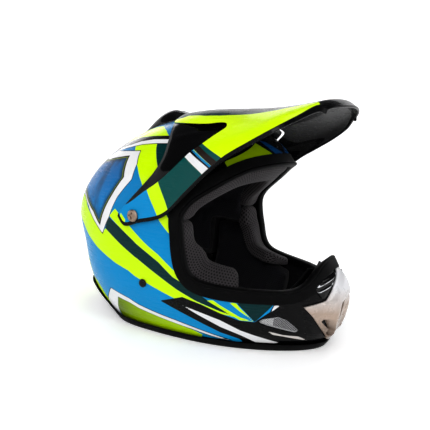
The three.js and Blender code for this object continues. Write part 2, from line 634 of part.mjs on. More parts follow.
// ---------------------------------------------------------------- chin straps (right side, about the rivet's axis)
const wallX = (z) => -(lookUp(WIDTH_BY_HEIGHT, z) - 1.2);
function strap(innerEnd) {
  const line = new THREE.CatmullRomCurve3([
    ...[60, 48, 36].map((z) => new THREE.Vector3(wallX(z) + 8.2, z, 0)),
    new THREE.Vector3(-97, 24, 0), new THREE.Vector3(-86, 13, 0), new THREE.Vector3(-74, 9.2, 0),
    new THREE.Vector3((innerEnd - 74) / 2, STRAP_END_Z, 0), new THREE.Vector3(innerEnd, STRAP_END_Z, 0),
  ]);
  const points = line.getSpacedPoints(18);
  const side = (offset) => points.map((p, i) => {
    const along = points[Math.min(i + 1, 18)].clone().sub(points[Math.max(i - 1, 0)]).normalize();
    return [p.x - along.y * offset, p.y + along.x * offset];
  });
  const outline = [...side(-STRAP_THICK / 2), ...side(STRAP_THICK / 2).reverse()];
  return prismY(outline, -STRAP_WIDE / 2, STRAP_WIDE / 2);
}

const RING_WIRE = 1.6;
const RING_HALF = 14.4; // to the wire's centre line, along the strap's width
const RING_LONG = 21;
const RINGS_APART = 3.8; // between the two rings' bars, one above the other
const LOOP = { x: 46, z: 9.8, half: 4, wall: 1.8 }; // sewn loop at the end of the left strap
const STRAP_END_Z = 8.4;

function strapLoop() {
  const block = (half, y) => boxOf([LOOP.x - half, LOOP.x + half], [-y, y], [LOOP.z - half, LOOP.z + half]);
  return cut(block(LOOP.half + LOOP.wall, STRAP_WIDE / 2), block(LOOP.half, STRAP_WIDE));
}

// D ring about its straight bar at the origin, lying along -X.
function dRing() {
  const bend = span(-Math.PI / 2, Math.PI / 2, 8).map((a) => [-(RING_LONG - RING_HALF) - RING_HALF * Math.cos(a), RING_HALF * Math.sin(a)]);
  const corner = [[0, -RING_HALF], ...bend, [0, RING_HALF], [0, 5], [0, -5]];
  const loop = corner.map(([x, y]) => new THREE.Vector3(x, y, 0));
  const frames = loop.map((p, i) => {
    const before = loop[(i + loop.length - 1) % loop.length].clone().sub(p).normalize();
    const after = loop[(i + 1) % loop.length].clone().sub(p).normalize();
    const turn = after.clone().sub(before).normalize();
    return { p, u: turn.clone().cross(Z).normalize(), v: Z };
  });
  const wire = span(0, 2 * Math.PI, 6).slice(0, -1).map((a) => [RING_WIRE * Math.cos(a), RING_WIRE * Math.sin(a)]);
  return ringGeometry(frames, wire);
}

// ---------------------------------------------------------------- assembly
const helmet = new THREE.Group();
const peakTilt = new THREE.Group();
peakTilt.position.set(0, PIVOT.y, PIVOT.z);
helmet.add(peakTilt);

function add(name, geometry, material, parent = helmet) {
  const mesh = new THREE.Mesh(geometry, material);
  mesh.name = name;
  parent.add(mesh);
  return mesh;
}

// A piece of the right side, and its mirror image on the left.
function addPair(name, rightGeometry, material, parent = helmet) {
  add(`${name}_right`, rightGeometry, material, parent);
  add(`${name}_left`, mirrored(rightGeometry), material, parent);
}

const m = MATERIALS;
add("outer_shell", outerShell(), m.shellPaint);
add("impact_liner", impactLiner(), m.foam);
add("chin_bar_foam", chinFoam(), m.foam);
add("comfort_liner", comfortLiner(), m.fabric);
addPair("cheek_pad", cheekPad(), m.meshFabric);
add("neck_roll", neckRoll(), m.fabric);
add("eye_port_trim", eyePortTrim(), m.rubber);
add("lower_rim_trim", rimTrim(), m.rubber);
add("muzzle_cover", muzzleCover(), m.silver);
add("mouth_vent_grille", mouthGrille(), m.blackPlastic);
addPair("nose_vent", mirrored(noseVent()), m.blackGloss);
add("nose_guard", noseGuard(), m.blackPlastic);
addPair("chin_vent_mesh", mirrored(chinVentMesh()), m.wire);
addPair("rear_vent_mesh", mirrored(rearVentMesh()), m.wire);
add("crown_vent_scoop", crownScoop(), m.blackGloss);

add("peak", peakBody(), m.peakPaint, peakTilt);
addPair("peak_scoop", mirrored(peakScoop()), m.blackGloss, peakTilt);

// Fasteners stand on their own axes: the right ones are turned half round about Z.
for (const [side, sign] of [["right", -1], ["left", 1]]) {
  const turn = sign > 0 ? 0 : Math.PI;
  const place = (mesh, x, at) => {
    mesh.position.set(sign * x, at.y, at.z);
    mesh.rotation.z = turn;
  };
  place(add(`peak_screw_${side}`, screw(20), m.steel), 130.5, PIVOT);
  place(add(`peak_washer_${side}`, ring(8, HOLE_R, 0, 2), m.rubber), 125.9, PIVOT);
  place(add(`peak_insert_${side}`, threadInsert(), m.steel), 115.2, PIVOT);
  place(add(`strap_rivet_${side}`, strapRivet(), m.blackGloss), 123.4, RIVET);
}

// Strap anchors: a plate riveted inside the shell, with the webbing sewn to it.
const anchorPlate = () =>
  cut(boxOf([-0.7, 0.7], [-11, 11], [-12, 7]), rodX(HOLE_R, -3, 3, 0, 0));
for (const [side, sign] of [["right", -1], ["left", 1]]) {
  const plate = add(`strap_anchor_${side}`, anchorPlate(), m.steel);
  plate.position.set(sign * 114, RIVET.y, RIVET.z);
}
add("chin_strap_right", strap(12), m.webbing);
add("chin_strap_left", joined(mirrored(strap(-LOOP.x - LOOP.half - 1)), strapLoop()), m.webbing);

const ringPair = new THREE.Group();
ringPair.position.set(LOOP.x, 0, LOOP.z);
helmet.add(ringPair);
add("d_ring_lower", dRing(), m.steel, ringPair).position.z = -RINGS_APART / 2;
add("d_ring_upper", dRing(), m.steel, ringPair).position.z = RINGS_APART / 2;

const snap = () => rodZ(6, 0, 2.6, 0, 0, 16);
const snapZ = STRAP_END_Z + STRAP_THICK / 2 + GAP;
add("snap_socket", snap(), m.blackPlastic).position.set(-2, 0, snapZ);
add("snap_stud", snap(), m.steel).position.set(64, 0, snapZ);

// Origin: bottom centre of the whole helmet.
const box = new THREE.Box3().setFromObject(helmet, true);
const middle = box.getCenter(new THREE.Vector3());
helmet.position.set(-middle.x, -middle.y, -box.min.z);

export default helmet;
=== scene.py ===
"""Motocross helmet: the looks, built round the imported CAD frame.

Shapes are worked out in millimetres about the CAD source's own datum (z up, the face looks along -y, the
wearer's right is at -x) and turned into metres of the row frame where a mesh is made.
"""

import math

import bmesh
import bpy
import numpy as np
from mathutils import Matrix, Vector
from mathutils.bvhtree import BVHTree


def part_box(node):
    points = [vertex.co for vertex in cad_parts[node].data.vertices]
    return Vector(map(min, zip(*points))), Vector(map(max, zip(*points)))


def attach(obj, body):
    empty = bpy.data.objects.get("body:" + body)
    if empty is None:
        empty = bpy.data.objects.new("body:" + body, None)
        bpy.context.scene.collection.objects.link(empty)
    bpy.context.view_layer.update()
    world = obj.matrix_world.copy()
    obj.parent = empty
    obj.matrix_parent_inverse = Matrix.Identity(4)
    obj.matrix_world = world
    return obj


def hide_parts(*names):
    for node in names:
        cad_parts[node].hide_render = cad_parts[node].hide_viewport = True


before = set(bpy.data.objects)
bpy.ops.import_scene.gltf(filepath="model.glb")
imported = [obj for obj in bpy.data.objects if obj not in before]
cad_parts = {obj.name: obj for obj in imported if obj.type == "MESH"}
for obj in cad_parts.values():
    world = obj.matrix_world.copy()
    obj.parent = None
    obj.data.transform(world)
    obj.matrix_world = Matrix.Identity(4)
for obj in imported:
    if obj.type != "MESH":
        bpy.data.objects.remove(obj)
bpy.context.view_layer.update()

# ---------------------------------------------------------------- driving dimensions, millimetres
CROWN_Z = 264.6
WIDEST_Z = 130
HALF_WIDTH = 126
FRONT_REACH = 143
REAR_REACH = 151
BASE_CENTRE_Y = 12
CROWN_CENTRE_Y = -14.5
DOME_POWER = 2.1
SIDE_POWER = 2.2
CHIN_POWER = 1.78
SHELL = 4
FOAM_INSET = 5
LINER_INSET = 36.4
PEAK_THICK = 3
PEAK_CLEAR = 1.6
PIVOT = (15, 145)  # y, z of the side screws
RIVET = (0, 67)
SCREW_HEAD_R = 7
RIM_EDGE = 4.5
STRAP_WIDE = 24
STRAP_THICK = 1.8

WIDTH_BY_HEIGHT = [(-20, 88), (0, 94.5), (30, 110), (70, 123.5), (105, 125.7), (WIDEST_Z, HALF_WIDTH)]
REAR_BY_HEIGHT = [(-20, 72), (0, 88), (40, 122), (90, 138), (WIDEST_Z, REAR_REACH)]
FRONT_BY_HEIGHT = [
    (-20, 190), (0, 198), (25, 210), (60, 214), (90, 208), (110, 192), (122, 165), (WIDEST_Z, 143),
]

PORT = [
    (-150, 223), (-124, 221), (-108, 216.5), (-94, 210), (-84, 203), (-74, 195), (-64, 187), (-54.5, 179),
    (-45.5, 170.5), (-39, 161), (-36, 152), (-36.5, 143), (-39.5, 127), (-43, 112), (-46.5, 98), (-51, 88),
    (-58, 80.5), (-68, 76), (-88, 73), (-113, 72), (-134, 72), (-152, 72), (-166, 75), (-174, 82),
    (-179, 92), (-183, 103), (-190, 110), (-215, 112),
]
PORT_CENTRE = (-110, 130)
PEAK_STATIONS = [  # lower edge, crease, middle of the side, ridge and centre line, from back to front
    [(127.5, 37.5, 141), (128.5, 37, 144), (112, -3, 206), (64, 8, 256), (0, 12, 269)],
    [(130, 27, 132), (130.5, 27, 135), (114, -9, 207), (65, 0, 258.5), (0, 2, 270.8)],
    [(131, 8, 138), (131.5, 8, 141), (115, -16, 209), (65, -10, 261), (0, -12, 273)],
    [(129.5, -24, 149.5), (130, -24, 152.5), (115, -30, 213), (66, -24, 263.5), (0, -30, 275.5)],
    [(128, -50, 177), (128.5, -49.5, 180), (115, -50, 222), (68, -44, 265.5), (0, -48, 277.2)],
    [(127.5, -70, 199), (128, -69.5, 202), (115, -70, 233), (70, -66, 266.5), (0, -68, 279)],
    [(127, -92, 219.5), (127, -91.5, 222.5), (114, -92, 244), (72, -90, 268.5), (0, -90, 281)],
    [(126, -115, 235), (126, -114.5, 238), (112, -114, 254.5), (72, -113, 273), (0, -114, 284)],
    [(121, -141, 252.5), (120.5, -140.5, 255.5), (106, -139, 267.5), (68, -138, 280), (0, -140, 289)],
    [(106, -160, 266), (105, -159, 270), (90, -159, 279), (58, -160, 287.5), (0, -162, 293.5)],
    [(80, -174, 277.5), (78, -172, 283), (66, -173, 288), (42, -176, 292.5), (0, -180, 295.5)],
    [(72, -178, 276), (70, -178, 279.5), (60, -182, 283.5), (40, -187, 287), (0, -191, 289.5)],
]
SCOOP_WINDOW = [
    (60, 253.5), (26, 253.5), (-17, 254), (-44, 255), (-67, 258), (-73, 257), (-76, 253.5), (-66, 243),
    (-55, 233), (-43, 223), (-36, 215), (-22, 198), (-9, 185), (6, 173.5), (24, 158), (36, 152), (60, 152),
]
CHIN_VENT = [
    (-129, 39), (-135, 43.5), (-150, 47), (-158, 43), (-169, 30), (-166, 25.5), (-150, 31), (-138, 35),
]
REAR_VENT = [(-9, -5), (7, -7), (11, 0), (8, 6), (-7, 5)]

# Where the datum stands in the row frame: the screws sit at PIVOT's y in the one, and in the middle of their
# box in the other.
screw_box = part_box("peak_screw_right")
SHIFT_Y = (screw_box[0].y + screw_box[1].y) / 2 * 1000 - PIVOT[0]


# ---------------------------------------------------------------- small helpers
def smooth(v):
    v = np.clip(v, 0, 1)
    return v * v * (3 - 2 * v)


def look_up(table, height):
    """Smooth, monotone interpolation in a table of (height, value)."""
    xs, ys = (np.array(column, float) for column in zip(*table))
    rise = np.diff(ys) / np.diff(xs)
    slope = np.zeros(len(xs))
    slope[0] = rise[0]
    before, after = rise[:-1], rise[1:]
    total = np.where(before + after == 0, 1, before + after)
    slope[1:-1] = np.where(before * after <= 0, 0, 2 * before * after / total)
    z = np.clip(height, xs[0], xs[-1])
    i = np.clip(np.searchsorted(xs, z, side="right") - 1, 0, len(xs) - 2)
    h = xs[i + 1] - xs[i]
    t = (z - xs[i]) / h
    return (
        (2 * t**3 - 3 * t * t + 1) * ys[i]
        + (t**3 - 2 * t * t + t) * h * slope[i]
        + (3 * t * t - 2 * t**3) * ys[i + 1]
        + (t**3 - t * t) * h * slope[i + 1]
    )


def catmull(points, steps, closed=False):
    """Points along a centripetal Catmull-Rom curve through the given ones."""
    p = np.array(points, float)
    if closed:
        p = np.vstack([p[-1:], p, p[:2]])
    else:
        p = np.vstack([2 * p[:1] - p[1:2], p, 2 * p[-1:] - p[-2:-1]])
    out = []
    last = len(p) - 3
    for i in range(last):
        a, b, c, d = p[i : i + 4]
        t0, t1, t2 = (max(1e-4, np.linalg.norm(w - v)) ** 0.5 for v, w in ((a, b), (b, c), (c, d)))
        m1 = t1 * ((b - a) / t0 - (c - a) / (t0 + t1) + (c - b) / t1)
        m2 = t1 * ((c - b) / t1 - (d - b) / (t1 + t2) + (d - c) / t2)
        for s in np.arange(steps) / steps:
            h = (2 * s**3 - 3 * s * s + 1, s**3 - 2 * s * s + s, 3 * s * s - 2 * s**3, s**3 - s * s)
            out.append(h[0] * b + h[1] * m1 + h[2] * c + h[3] * m2)
    if not closed:
        out.append(p[-2])
    return np.array(out)


def even_steps(points, count, closed=False):
    """The same line with its points spaced evenly."""
    p = np.vstack([points, points[:1]]) if closed else np.asarray(points)
    run = np.concatenate([[0], np.cumsum(np.linalg.norm(np.diff(p, axis=0), axis=1))])
    at = np.linspace(0, run[-1], count, endpoint=not closed)
    return np.stack([np.interp(at, run, p[:, k]) for k in range(p.shape[1])], 1)


def grown(outline, by):
    """Moves each point of a closed outline outwards by a distance."""
    p = np.array(outline, float)
    before, after = np.roll(p, 1, 0), np.roll(p, -1, 0)
    side = np.sign(np.sum(p[:, 0] * after[:, 1] - after[:, 0] * p[:, 1]))
    n1 = np.stack([(p - before)[:, 1], -(p - before)[:, 0]], 1)
    n2 = np.stack([(after - p)[:, 1], -(after - p)[:, 0]], 1)
    n1 /= np.linalg.norm(n1, axis=1)[:, None]
    n2 /= np.linalg.norm(n2, axis=1)[:, None]
    n = n1 + n2
    n /= np.linalg.norm(n, axis=1)[:, None]
    reach = side * by / np.maximum(0.5, np.sum(n * n1, 1))
    return p + n * reach[:, None]


def inside_depth(points, outline):
    """Distance of each 2-D point from an outline, positive inside it."""
    p = np.asarray(points, float)
    a = np.array(outline, float)
    best = np.full(len(p), 1e9)
    inside = np.zeros(len(p), bool)
    for v, w in zip(a, np.roll(a, -1, 0)):
        e = w - v
        t = np.clip((p - v) @ e / (e @ e), 0, 1)
        best = np.minimum(best, np.linalg.norm(p - v - t[:, None] * e, axis=1))
        crosses = (v[1] > p[:, 1]) != (w[1] > p[:, 1])
        at = v[0] + (p[:, 1] - v[1]) / (e[1] if e[1] else 1e-9) * e[0]
        inside ^= crosses & (p[:, 0] < at)
    return np.where(inside, best, -best)


# ---------------------------------------------------------------- the shell's surface
def section(z, inset=0.0):
    """Half width, reaches and centre of the horizontal section at each height."""
    z = np.asarray(z, float)
    up = np.clip((z - WIDEST_Z) / (CROWN_Z - inset - WIDEST_Z), 0, 1)
    centre = BASE_CENTRE_Y + (CROWN_CENTRE_Y - BASE_CENTRE_Y) * smooth(up)
    dome = np.maximum(1e-6, 1 - up**DOME_POWER) ** (1 / DOME_POWER)
    rear_dome = np.maximum(1e-6, 1 - up**2) ** 0.5
    low = z <= WIDEST_Z
    width = np.where(low, look_up(WIDTH_BY_HEIGHT, z) - inset, (HALF_WIDTH - inset) * dome)
    front = np.where(low, look_up(FRONT_BY_HEIGHT, z) - inset, (FRONT_REACH - inset) * dome)
    rear = np.where(low, look_up(REAR_BY_HEIGHT, z) - inset, (REAR_REACH - inset) * rear_dome)
    return width, front, rear, centre


def section_power(z, sine):
    chin = CHIN_POWER + (SIDE_POWER - CHIN_POWER) * np.clip((np.asarray(z) - 90) / 60, 0, 1)
    return SIDE_POWER + (chin - SIDE_POWER) * smooth(-sine)


def surface_point(z, angle, inset=0.0):
    """Points of the surface at heights and section angles: 0 is the left side, pi / 2 the back."""
    z, angle = np.broadcast_arrays(np.asarray(z, float), np.asarray(angle, float))
    width, front, rear, centre = section(z, inset)
    c, n = np.cos(angle), np.sin(angle)
    power = section_power(z, n)
    k = (np.abs(c) ** power + np.abs(n) ** power) ** (-1 / power)
    return np.stack([width * k * c, centre + np.where(n < 0, front, rear) * k * n, z], -1)


def search(low, high, is_low, steps=34):
    """Halves spans until they are points: is_low says which middles still lie on the low side."""
    for _ in range(steps):
        mid = (low + high) / 2
        below = is_low(mid)
        low, high = np.where(below, mid, low), np.where(below, high, mid)
    return low, high


def side_x(y, z, inset=0.0):
    """x of the left point of the surface at each y and z, or nan where the section doesn't reach that y."""
    y, z = np.broadcast_arrays(np.asarray(y, float), np.asarray(z, float))
    _, front, rear, centre = section(z, inset)
    ends = (np.full(y.shape, -np.pi / 2), np.full(y.shape, np.pi / 2))
    low, high = search(*ends, lambda mid: surface_point(z, mid, inset)[..., 1] < y)
    x = surface_point(z, (low + high) / 2, inset)[..., 0]
    return np.where((y <= centre - front) | (y >= centre + rear) | (z >= CROWN_Z - inset), np.nan, x)


def front_point(x, z, inset=0.0):
    """Points on the front of the surface at each x and z."""
    x, z = np.broadcast_arrays(np.asarray(x, float), np.asarray(z, float))
    ends = (np.full(x.shape, -np.pi / 2), np.zeros(x.shape))
    low, high = search(*ends, lambda mid: surface_point(z, mid, inset)[..., 0] < np.abs(x))
    return np.stack([x, surface_point(z, (low + high) / 2, inset)[..., 1], z], -1)


def rear_point(x, z, inset=0.0):
    """Points on the back of the surface at each x and z."""
    x, z = np.broadcast_arrays(np.asarray(x, float), np.asarray(z, float))
    ends = (np.zeros(x.shape), np.full(x.shape, np.pi / 2))
    low, high = search(*ends, lambda mid: surface_point(z, mid, inset)[..., 0] > np.abs(x))
    return np.stack([x, surface_point(z, (low + high) / 2, inset)[..., 1], z], -1)


def top_point(x, y, rise):
    """Points of the dome above x and y."""
    x, y, rise = np.broadcast_arrays(np.asarray(x, float), np.asarray(y, float), np.asarray(rise, float))
    ends = (np.full(x.shape, float(WIDEST_Z)), np.full(x.shape, CROWN_Z))
    low, _ = search(*ends, lambda mid: np.nan_to_num(side_x(y, mid), nan=-1.0) > np.abs(x))
    return np.stack([x, y, low + rise], -1)


def level(p, inset):
    """1 on the surface, less inside it."""
    width, front, rear, centre = section(p[..., 2], inset)
    a = p[..., 0] / width
    b = (p[..., 1] - centre) / np.where(p[..., 1] < centre, front, rear)
    angle = np.arctan2(b, a)
    power = section_power(p[..., 2], np.sin(angle))
    return np.hypot(a, b) * (np.abs(np.cos(angle)) ** power + np.abs(np.sin(angle)) ** power) ** (1 / power)


def surface_normal(p, inset=SHELL / 2, reach=1.5):
    p = np.asarray(p, float)
    n = np.stack([level(p + reach * e, inset) - level(p - reach * e, inset) for e in np.eye(3)], -1)
    n /= np.linalg.norm(n, axis=-1)[..., None] + 1e-12
    n[p[..., 2] > CROWN_Z - inset - 2] = (0, 0, 1)
    return n


def rim_z(y):
    return 30 * smooth((np.asarray(y) - 44) / 62)


def port_loop(inset, count):
    """The eye port's edge on the surface at an inset, from the middle of the brow round the left side."""
    profile = catmull(PORT, 30)
    x = side_x(profile[:, 0], profile[:, 1], inset)
    left = np.column_stack([x, profile])[~np.isnan(x)]
    left = left[left[:, 0] > 5]
    first, last = left[0] * (0, 1, 1), left[-1] * (0, 1, 1)
    half = np.vstack([first, left, last])
    right = half[-2:0:-1] * (-1, 1, 1)
    return even_steps(np.vstack([half, right]), count, closed=True)


# ---------------------------------------------------------------- meshes
def side_label(side):
    return "left" if side > 0 else "right"


def mirrored_span(side, low, high):
    """The same span of x on the left or the right side."""
    return (low, high) if side > 0 else (-high, -low)


def metres(points):
    return (np.asarray(points, float).reshape(-1, 3) + (0, SHIFT_Y, 0)) / 1000


def new_object(name, points, faces):
    mesh = bpy.data.meshes.new(name)
    mesh.from_pydata(metres(points).tolist(), [], [tuple(int(i) for i in f) for f in faces])
    obj = bpy.data.objects.new(name, mesh)
    bpy.context.scene.collection.objects.link(obj)
    work = bmesh.new()
    work.from_mesh(mesh)
    bmesh.ops.recalc_face_normals(work, faces=work.faces)
    work.to_mesh(mesh)
    work.free()
    return obj


def finish_piece(obj, material, body="helmet", stands_for=(), angle=35):
    """Shading, material, slot and body of a piece."""
    obj.data.shade_smooth()
    if angle is not None:
        obj.data.set_sharp_from_angle(angle=math.radians(angle))
    obj.data.materials.clear()
    obj.data.materials.append(material)
    if stands_for:
        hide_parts(*stands_for)
    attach(obj, body)
    return obj


def grid_faces(rows, columns, start=0, flip=False, wrap=False):
    i, j = np.meshgrid(np.arange(rows - 1), np.arange(columns if wrap else columns - 1), indexing="ij")
    k = (j + 1) % columns
    quads = np.stack([i * columns + j, i * columns + k, (i + 1) * columns + k, (i + 1) * columns + j], -1)
    quads = quads.reshape(-1, 4) + start
    return quads[:, ::-1] if flip else quads


def thick_sheet(name, outer, inner, round_edge=0.0, edge_steps=4):
    """A closed sheet between two equal grids of points, with rounded edges if round_edge is its bulge."""
    rows, columns = outer.shape[:2]
    points = [outer.reshape(-1, 3), inner.reshape(-1, 3)]
    faces = [grid_faces(rows, columns), grid_faces(rows, columns, rows * columns, flip=True)]
    index = np.arange(rows * columns).reshape(rows, columns)
    border = np.concatenate([index[0, :-1], index[:-1, -1], index[-1, :0:-1], index[:0:-1, 0]])
    flat = outer.reshape(-1, 3)
    deep = inner.reshape(-1, 3)
    neighbour = np.concatenate([index[1, :-1], index[:-1, -2], index[-2, :0:-1], index[:0:-1, 1]])
    out = flat[border] - flat[neighbour]
    out /= np.linalg.norm(out, axis=1)[:, None] + 1e-9
    rings = [border]
    start = 2 * rows * columns
    for step in range(1, edge_steps if round_edge else 1):
        t = step / edge_steps
        mid = flat[border] * (1 - t) + deep[border] * t + out * round_edge * math.sin(math.pi * t)
        points.append(mid)
        rings.append(np.arange(len(border)) + start)
        start += len(border)
    rings.append(border + rows * columns)
    for a, b in zip(rings, rings[1:]):
        faces.append(np.stack([a, b, np.roll(b, -1), np.roll(a, -1)], 1))
    return new_object(name, np.vstack(points), np.vstack(faces))


def ring_object(name, body):
    """A closed ring from a grid of points that joins up in both directions."""
    n, m = body.shape[:2]
    i, j = np.meshgrid(np.arange(n), np.arange(m), indexing="ij")
    k, after = (j + 1) % m, (i + 1) % n
    faces = np.stack([i * m + j, after * m + j, after * m + k, i * m + k], -1).reshape(-1, 4)
    return new_object(name, body, faces)


def rod_object(name, body):
    """A closed rod from rings of points, with flat ends."""
    rows, columns = body.shape[:2]
    faces = grid_faces(rows, columns, wrap=True).tolist()
    faces += [list(range(columns)), list(range((rows - 1) * columns, rows * columns))]
    return new_object(name, body, faces)


def swept_ring(name, points, u, v, outline):
    """A closed ring whose section, of (u, v) points, follows a closed line."""
    o = np.array(outline, float)
    return ring_object(name, points[:, None] + u[:, None] * o[None, :, :1] + v[:, None] * o[None, :, 1:])


def wires(name, lines, radius, sides=6):
    """Closed round rods along open lines, as one mesh."""
    points, faces, start = [], [], 0
    for line in lines:
        p = np.asarray(line, float)
        n = len(p)
        along = np.gradient(p, axis=0)
        along /= np.linalg.norm(along, axis=1)[:, None] + 1e-12
        side = np.cross(along, (0.13, 0.21, 1.0))
        side /= np.linalg.norm(side, axis=1)[:, None] + 1e-12
        other = np.cross(along, side)
        a = np.arange(sides) * 2 * np.pi / sides
        ring = side[:, None] * np.cos(a)[None, :, None] + other[:, None] * np.sin(a)[None, :, None]
        points.append((p[:, None] + radius * ring).reshape(-1, 3))
        faces.extend(grid_faces(n, sides, start, wrap=True).tolist())
        faces.append([start + j for j in range(sides)])
        faces.append([start + (n - 1) * sides + j for j in reversed(range(sides))])
        start += n * sides
    return new_object(name, np.vstack(points), faces)


def egg(name, inset, bottom, around, low, up):
    """The whole closed surface, from a flat bottom to the crown."""
    top = CROWN_Z - inset
    rising = np.linspace(0, np.pi / 2, up + 1)[1:-1]
    dome = WIDEST_Z + (top - WIDEST_Z) * np.sin(rising)
    heights = np.concatenate([np.linspace(bottom, WIDEST_Z, low + 1), dome])
    angles = np.arange(around) * 2 * np.pi / around - np.pi / 2
    points = surface_point(heights[:, None], angles[None, :], inset)
    rows = len(heights)
    faces = grid_faces(rows, around, wrap=True).tolist()
    base, crown = rows * around, rows * around + 1
    j = np.arange(around)
    k = (j + 1) % around
    faces += np.stack([np.full(around, base), k, j], 1).tolist()
    faces += np.stack([np.full(around, crown), (rows - 1) * around + j, (rows - 1) * around + k], 1).tolist()
    ends = [(0, BASE_CENTRE_Y, bottom), (0, CROWN_CENTRE_Y, top)]
    return new_object(name, np.vstack([points.reshape(-1, 3), ends]), faces)


def prism(outline, low, high, axis="x"):
    """A closed prism: an outline of (y, z) along x, of (x, z) along y or of (x, y) along z."""
    o = np.array(outline, float)
    n = len(o)
    place = {"x": (2, 0, 1), "y": (0, 2, 1), "z": (0, 1, 2)}[axis]
    points = np.vstack([np.column_stack([o, np.full(n, h)]) for h in (low, high)])[:, place]
    j = np.arange(n)
    k = (j + 1) % n
    faces = [list(range(n)), list(range(2 * n - 1, n - 1, -1)), *np.stack([j, j + n, k + n, k], 1).tolist()]
    return new_object("cutter", points, faces)


def circle(radius, y=0.0, z=0.0, sides=48):
    a = np.arange(sides) * 2 * np.pi / sides
    return np.column_stack([y + radius * np.cos(a), z + radius * np.sin(a)])


def turned(name, profile, sides=48):
    """A solid of revolution about the x axis, from (radius, x) points that start and end on the axis."""
    inner = [(r, x) for r, x in profile if r > 1e-6]
    a = np.arange(sides) * 2 * np.pi / sides
    points = [np.column_stack([np.full(sides, x), r * np.cos(a), r * np.sin(a)]) for r, x in inner]
    ends = [(profile[0][1], 0, 0), (profile[-1][1], 0, 0)]
    faces = grid_faces(len(inner), sides, wrap=True).tolist()
    n = len(inner) * sides
    for j in range(sides):
        k = (j + 1) % sides
        faces.append((n, k, j))
        faces.append((n + 1, n - sides + j, n - sides + k))
    return new_object(name, np.vstack([*points, ends]), faces)


def settle(obj):
    """Applies an object's modifiers."""
    bpy.context.view_layer.update()
    shape = bpy.data.meshes.new_from_object(obj.evaluated_get(bpy.context.evaluated_depsgraph_get()))
    obj.modifiers.clear()
    obj.data = shape
    return obj


def carve(obj, *cutters, operation="DIFFERENCE", solver="MANIFOLD"):
    """Cuts closed cutters out of a closed object, and removes them."""
    for cutter in cutters:
        step = obj.modifiers.new("cut", "BOOLEAN")
        step.operation = operation
        step.solver = solver
        step.object = cutter
    settle(obj)
    for cutter in cutters:
        bpy.data.objects.remove(cutter)
    return obj


def positions(obj):
    """A mesh's points in millimetres about the datum."""
    co = np.empty(len(obj.data.vertices) * 3)
    obj.data.vertices.foreach_get("co", co)
    return co.reshape(-1, 3) * 1000 - (0, SHIFT_Y, 0)


def place(obj, matrix):
    obj.data.transform(matrix)
    return obj


def keep_value(obj, name, values):
    layer = obj.data.attributes.new(name, "FLOAT", "POINT")
    layer.data.foreach_set("value", np.asarray(values, np.float32))


# ---------------------------------------------------------------- materials
class Look:
    """A material built node by node round one Principled shader."""

    def __init__(self, name, sockets):
        self.material = bpy.data.materials.new(name)
        self.material.use_nodes = True
        self.tree = self.material.node_tree
        self.shader = self.tree.nodes["Principled BSDF"]
        for key, value in sockets.items():
            self.shader.inputs[key].default_value = value
        self.coords = self.add("TexCoord").outputs["Object"]

    def add(self, kind, inputs=None, **settings):
        node = self.tree.nodes.new("ShaderNode" + kind)
        for key, value in settings.items():
            setattr(node, key, value)
        for key, value in (inputs or {}).items():
            self.feed(node.inputs[key], value)
        return node

    def feed(self, socket, value):
        if isinstance(value, bpy.types.NodeSocket):
            self.tree.links.new(value, socket)
        else:
            socket.default_value = value

    def math(self, operation, a, b=0.0, c=0.0):
        return self.add("Math", {0: a, 1: b, 2: c}, operation=operation).outputs[0]

    def mix(self, factor, a, b):
        return self.add("Mix", {0: factor, 6: a, 7: b}, data_type="RGBA").outputs[2]

    def ramp(self, value, low, high, to_low=0.0, to_high=1.0):
        values = {"Value": value, "From Min": low, "From Max": high, "To Min": to_low, "To Max": to_high}
        return self.add("MapRange", values).outputs["Result"]

    def noise(self, scale, detail=2.0, rough=0.5, stretch=None):
        coords = self.coords
        if stretch:
            coords = self.add("Mapping", {"Vector": coords, "Scale": stretch}).outputs[0]
        values = {"Vector": coords, "Scale": scale, "Detail": detail, "Roughness": rough}
        return self.add("TexNoise", values).outputs["Fac"]

    def value(self, name):
        return self.add("Attribute", attribute_name=name).outputs["Fac"]

    def bump(self, height, distance, strength=1.0):
        """Adds relief, in metres, on top of what is there."""
        values = {"Height": height, "Distance": distance, "Strength": strength}
        socket = self.shader.inputs["Normal"]
        if socket.is_linked:
            values["Normal"] = socket.links[0].from_socket
        self.feed(socket, self.add("Bump", values).outputs[0])
        return self

    def colour(self, value):
        self.feed(self.shader.inputs["Base Color"], value)
        return self

    def roughness(self, value):
        self.feed(self.shader.inputs["Roughness"], value)
        return self


def rgb(red, green, blue):
    """A colour given as it looks on a screen, 0 to 255."""
    parts = [v / 255 for v in (red, green, blue)]
    return (*[v / 12.92 if v <= 0.04045 else ((v + 0.055) / 1.055) ** 2.4 for v in parts], 1.0)


LIME = rgb(192, 230, 0)
# A darker copy of lime: painted shade on the brow under the peak.
LIME_PAINTED_SHADE = rgb(130, 160, 0)
OLIVE = rgb(90, 112, 0)
BLUE = rgb(0, 134, 190)
DEEP_BLUE = rgb(0, 114, 170)
# A darker copy of blue: painted shade on the brow under the peak.
BLUE_PAINTED_SHADE = rgb(0, 60, 110)
BLUE_GREY = rgb(70, 120, 160)
TEAL = rgb(0, 46, 48)
ARM_TEAL = rgb(0, 74, 72)
GLOSS_BLACK = rgb(4, 4, 5)
WHITE = rgb(218, 218, 219)
# Light grey for the crescent under each chin vent: a painted highlight.
PAINTED_HIGHLIGHT_GREY = rgb(196, 192, 188)
BROWN_BLACK = rgb(34, 24, 20)


def painted(name):
    """Glossy paint under a clear coat, with orange peel and fine scratches."""
    sockets = {"Coat Weight": 0.22, "Coat Roughness": 0.04, "Coat IOR": 1.45, "Specular IOR Level": 0.05}
    look = Look(name, sockets)
    haze = look.noise(26, 3)
    scratch = look.noise(60, 5, 0.7, (1, 1, 9))
    worn = look.ramp(look.math("MULTIPLY", haze, scratch), 0.2, 0.42, 0.24, 0.36)
    look.roughness(worn)
    look.bump(look.noise(420, 1), 0.00004, 0.35)
    return look


EDGE_SOFT = 0.18  # half the width of a blurred paint edge, mm


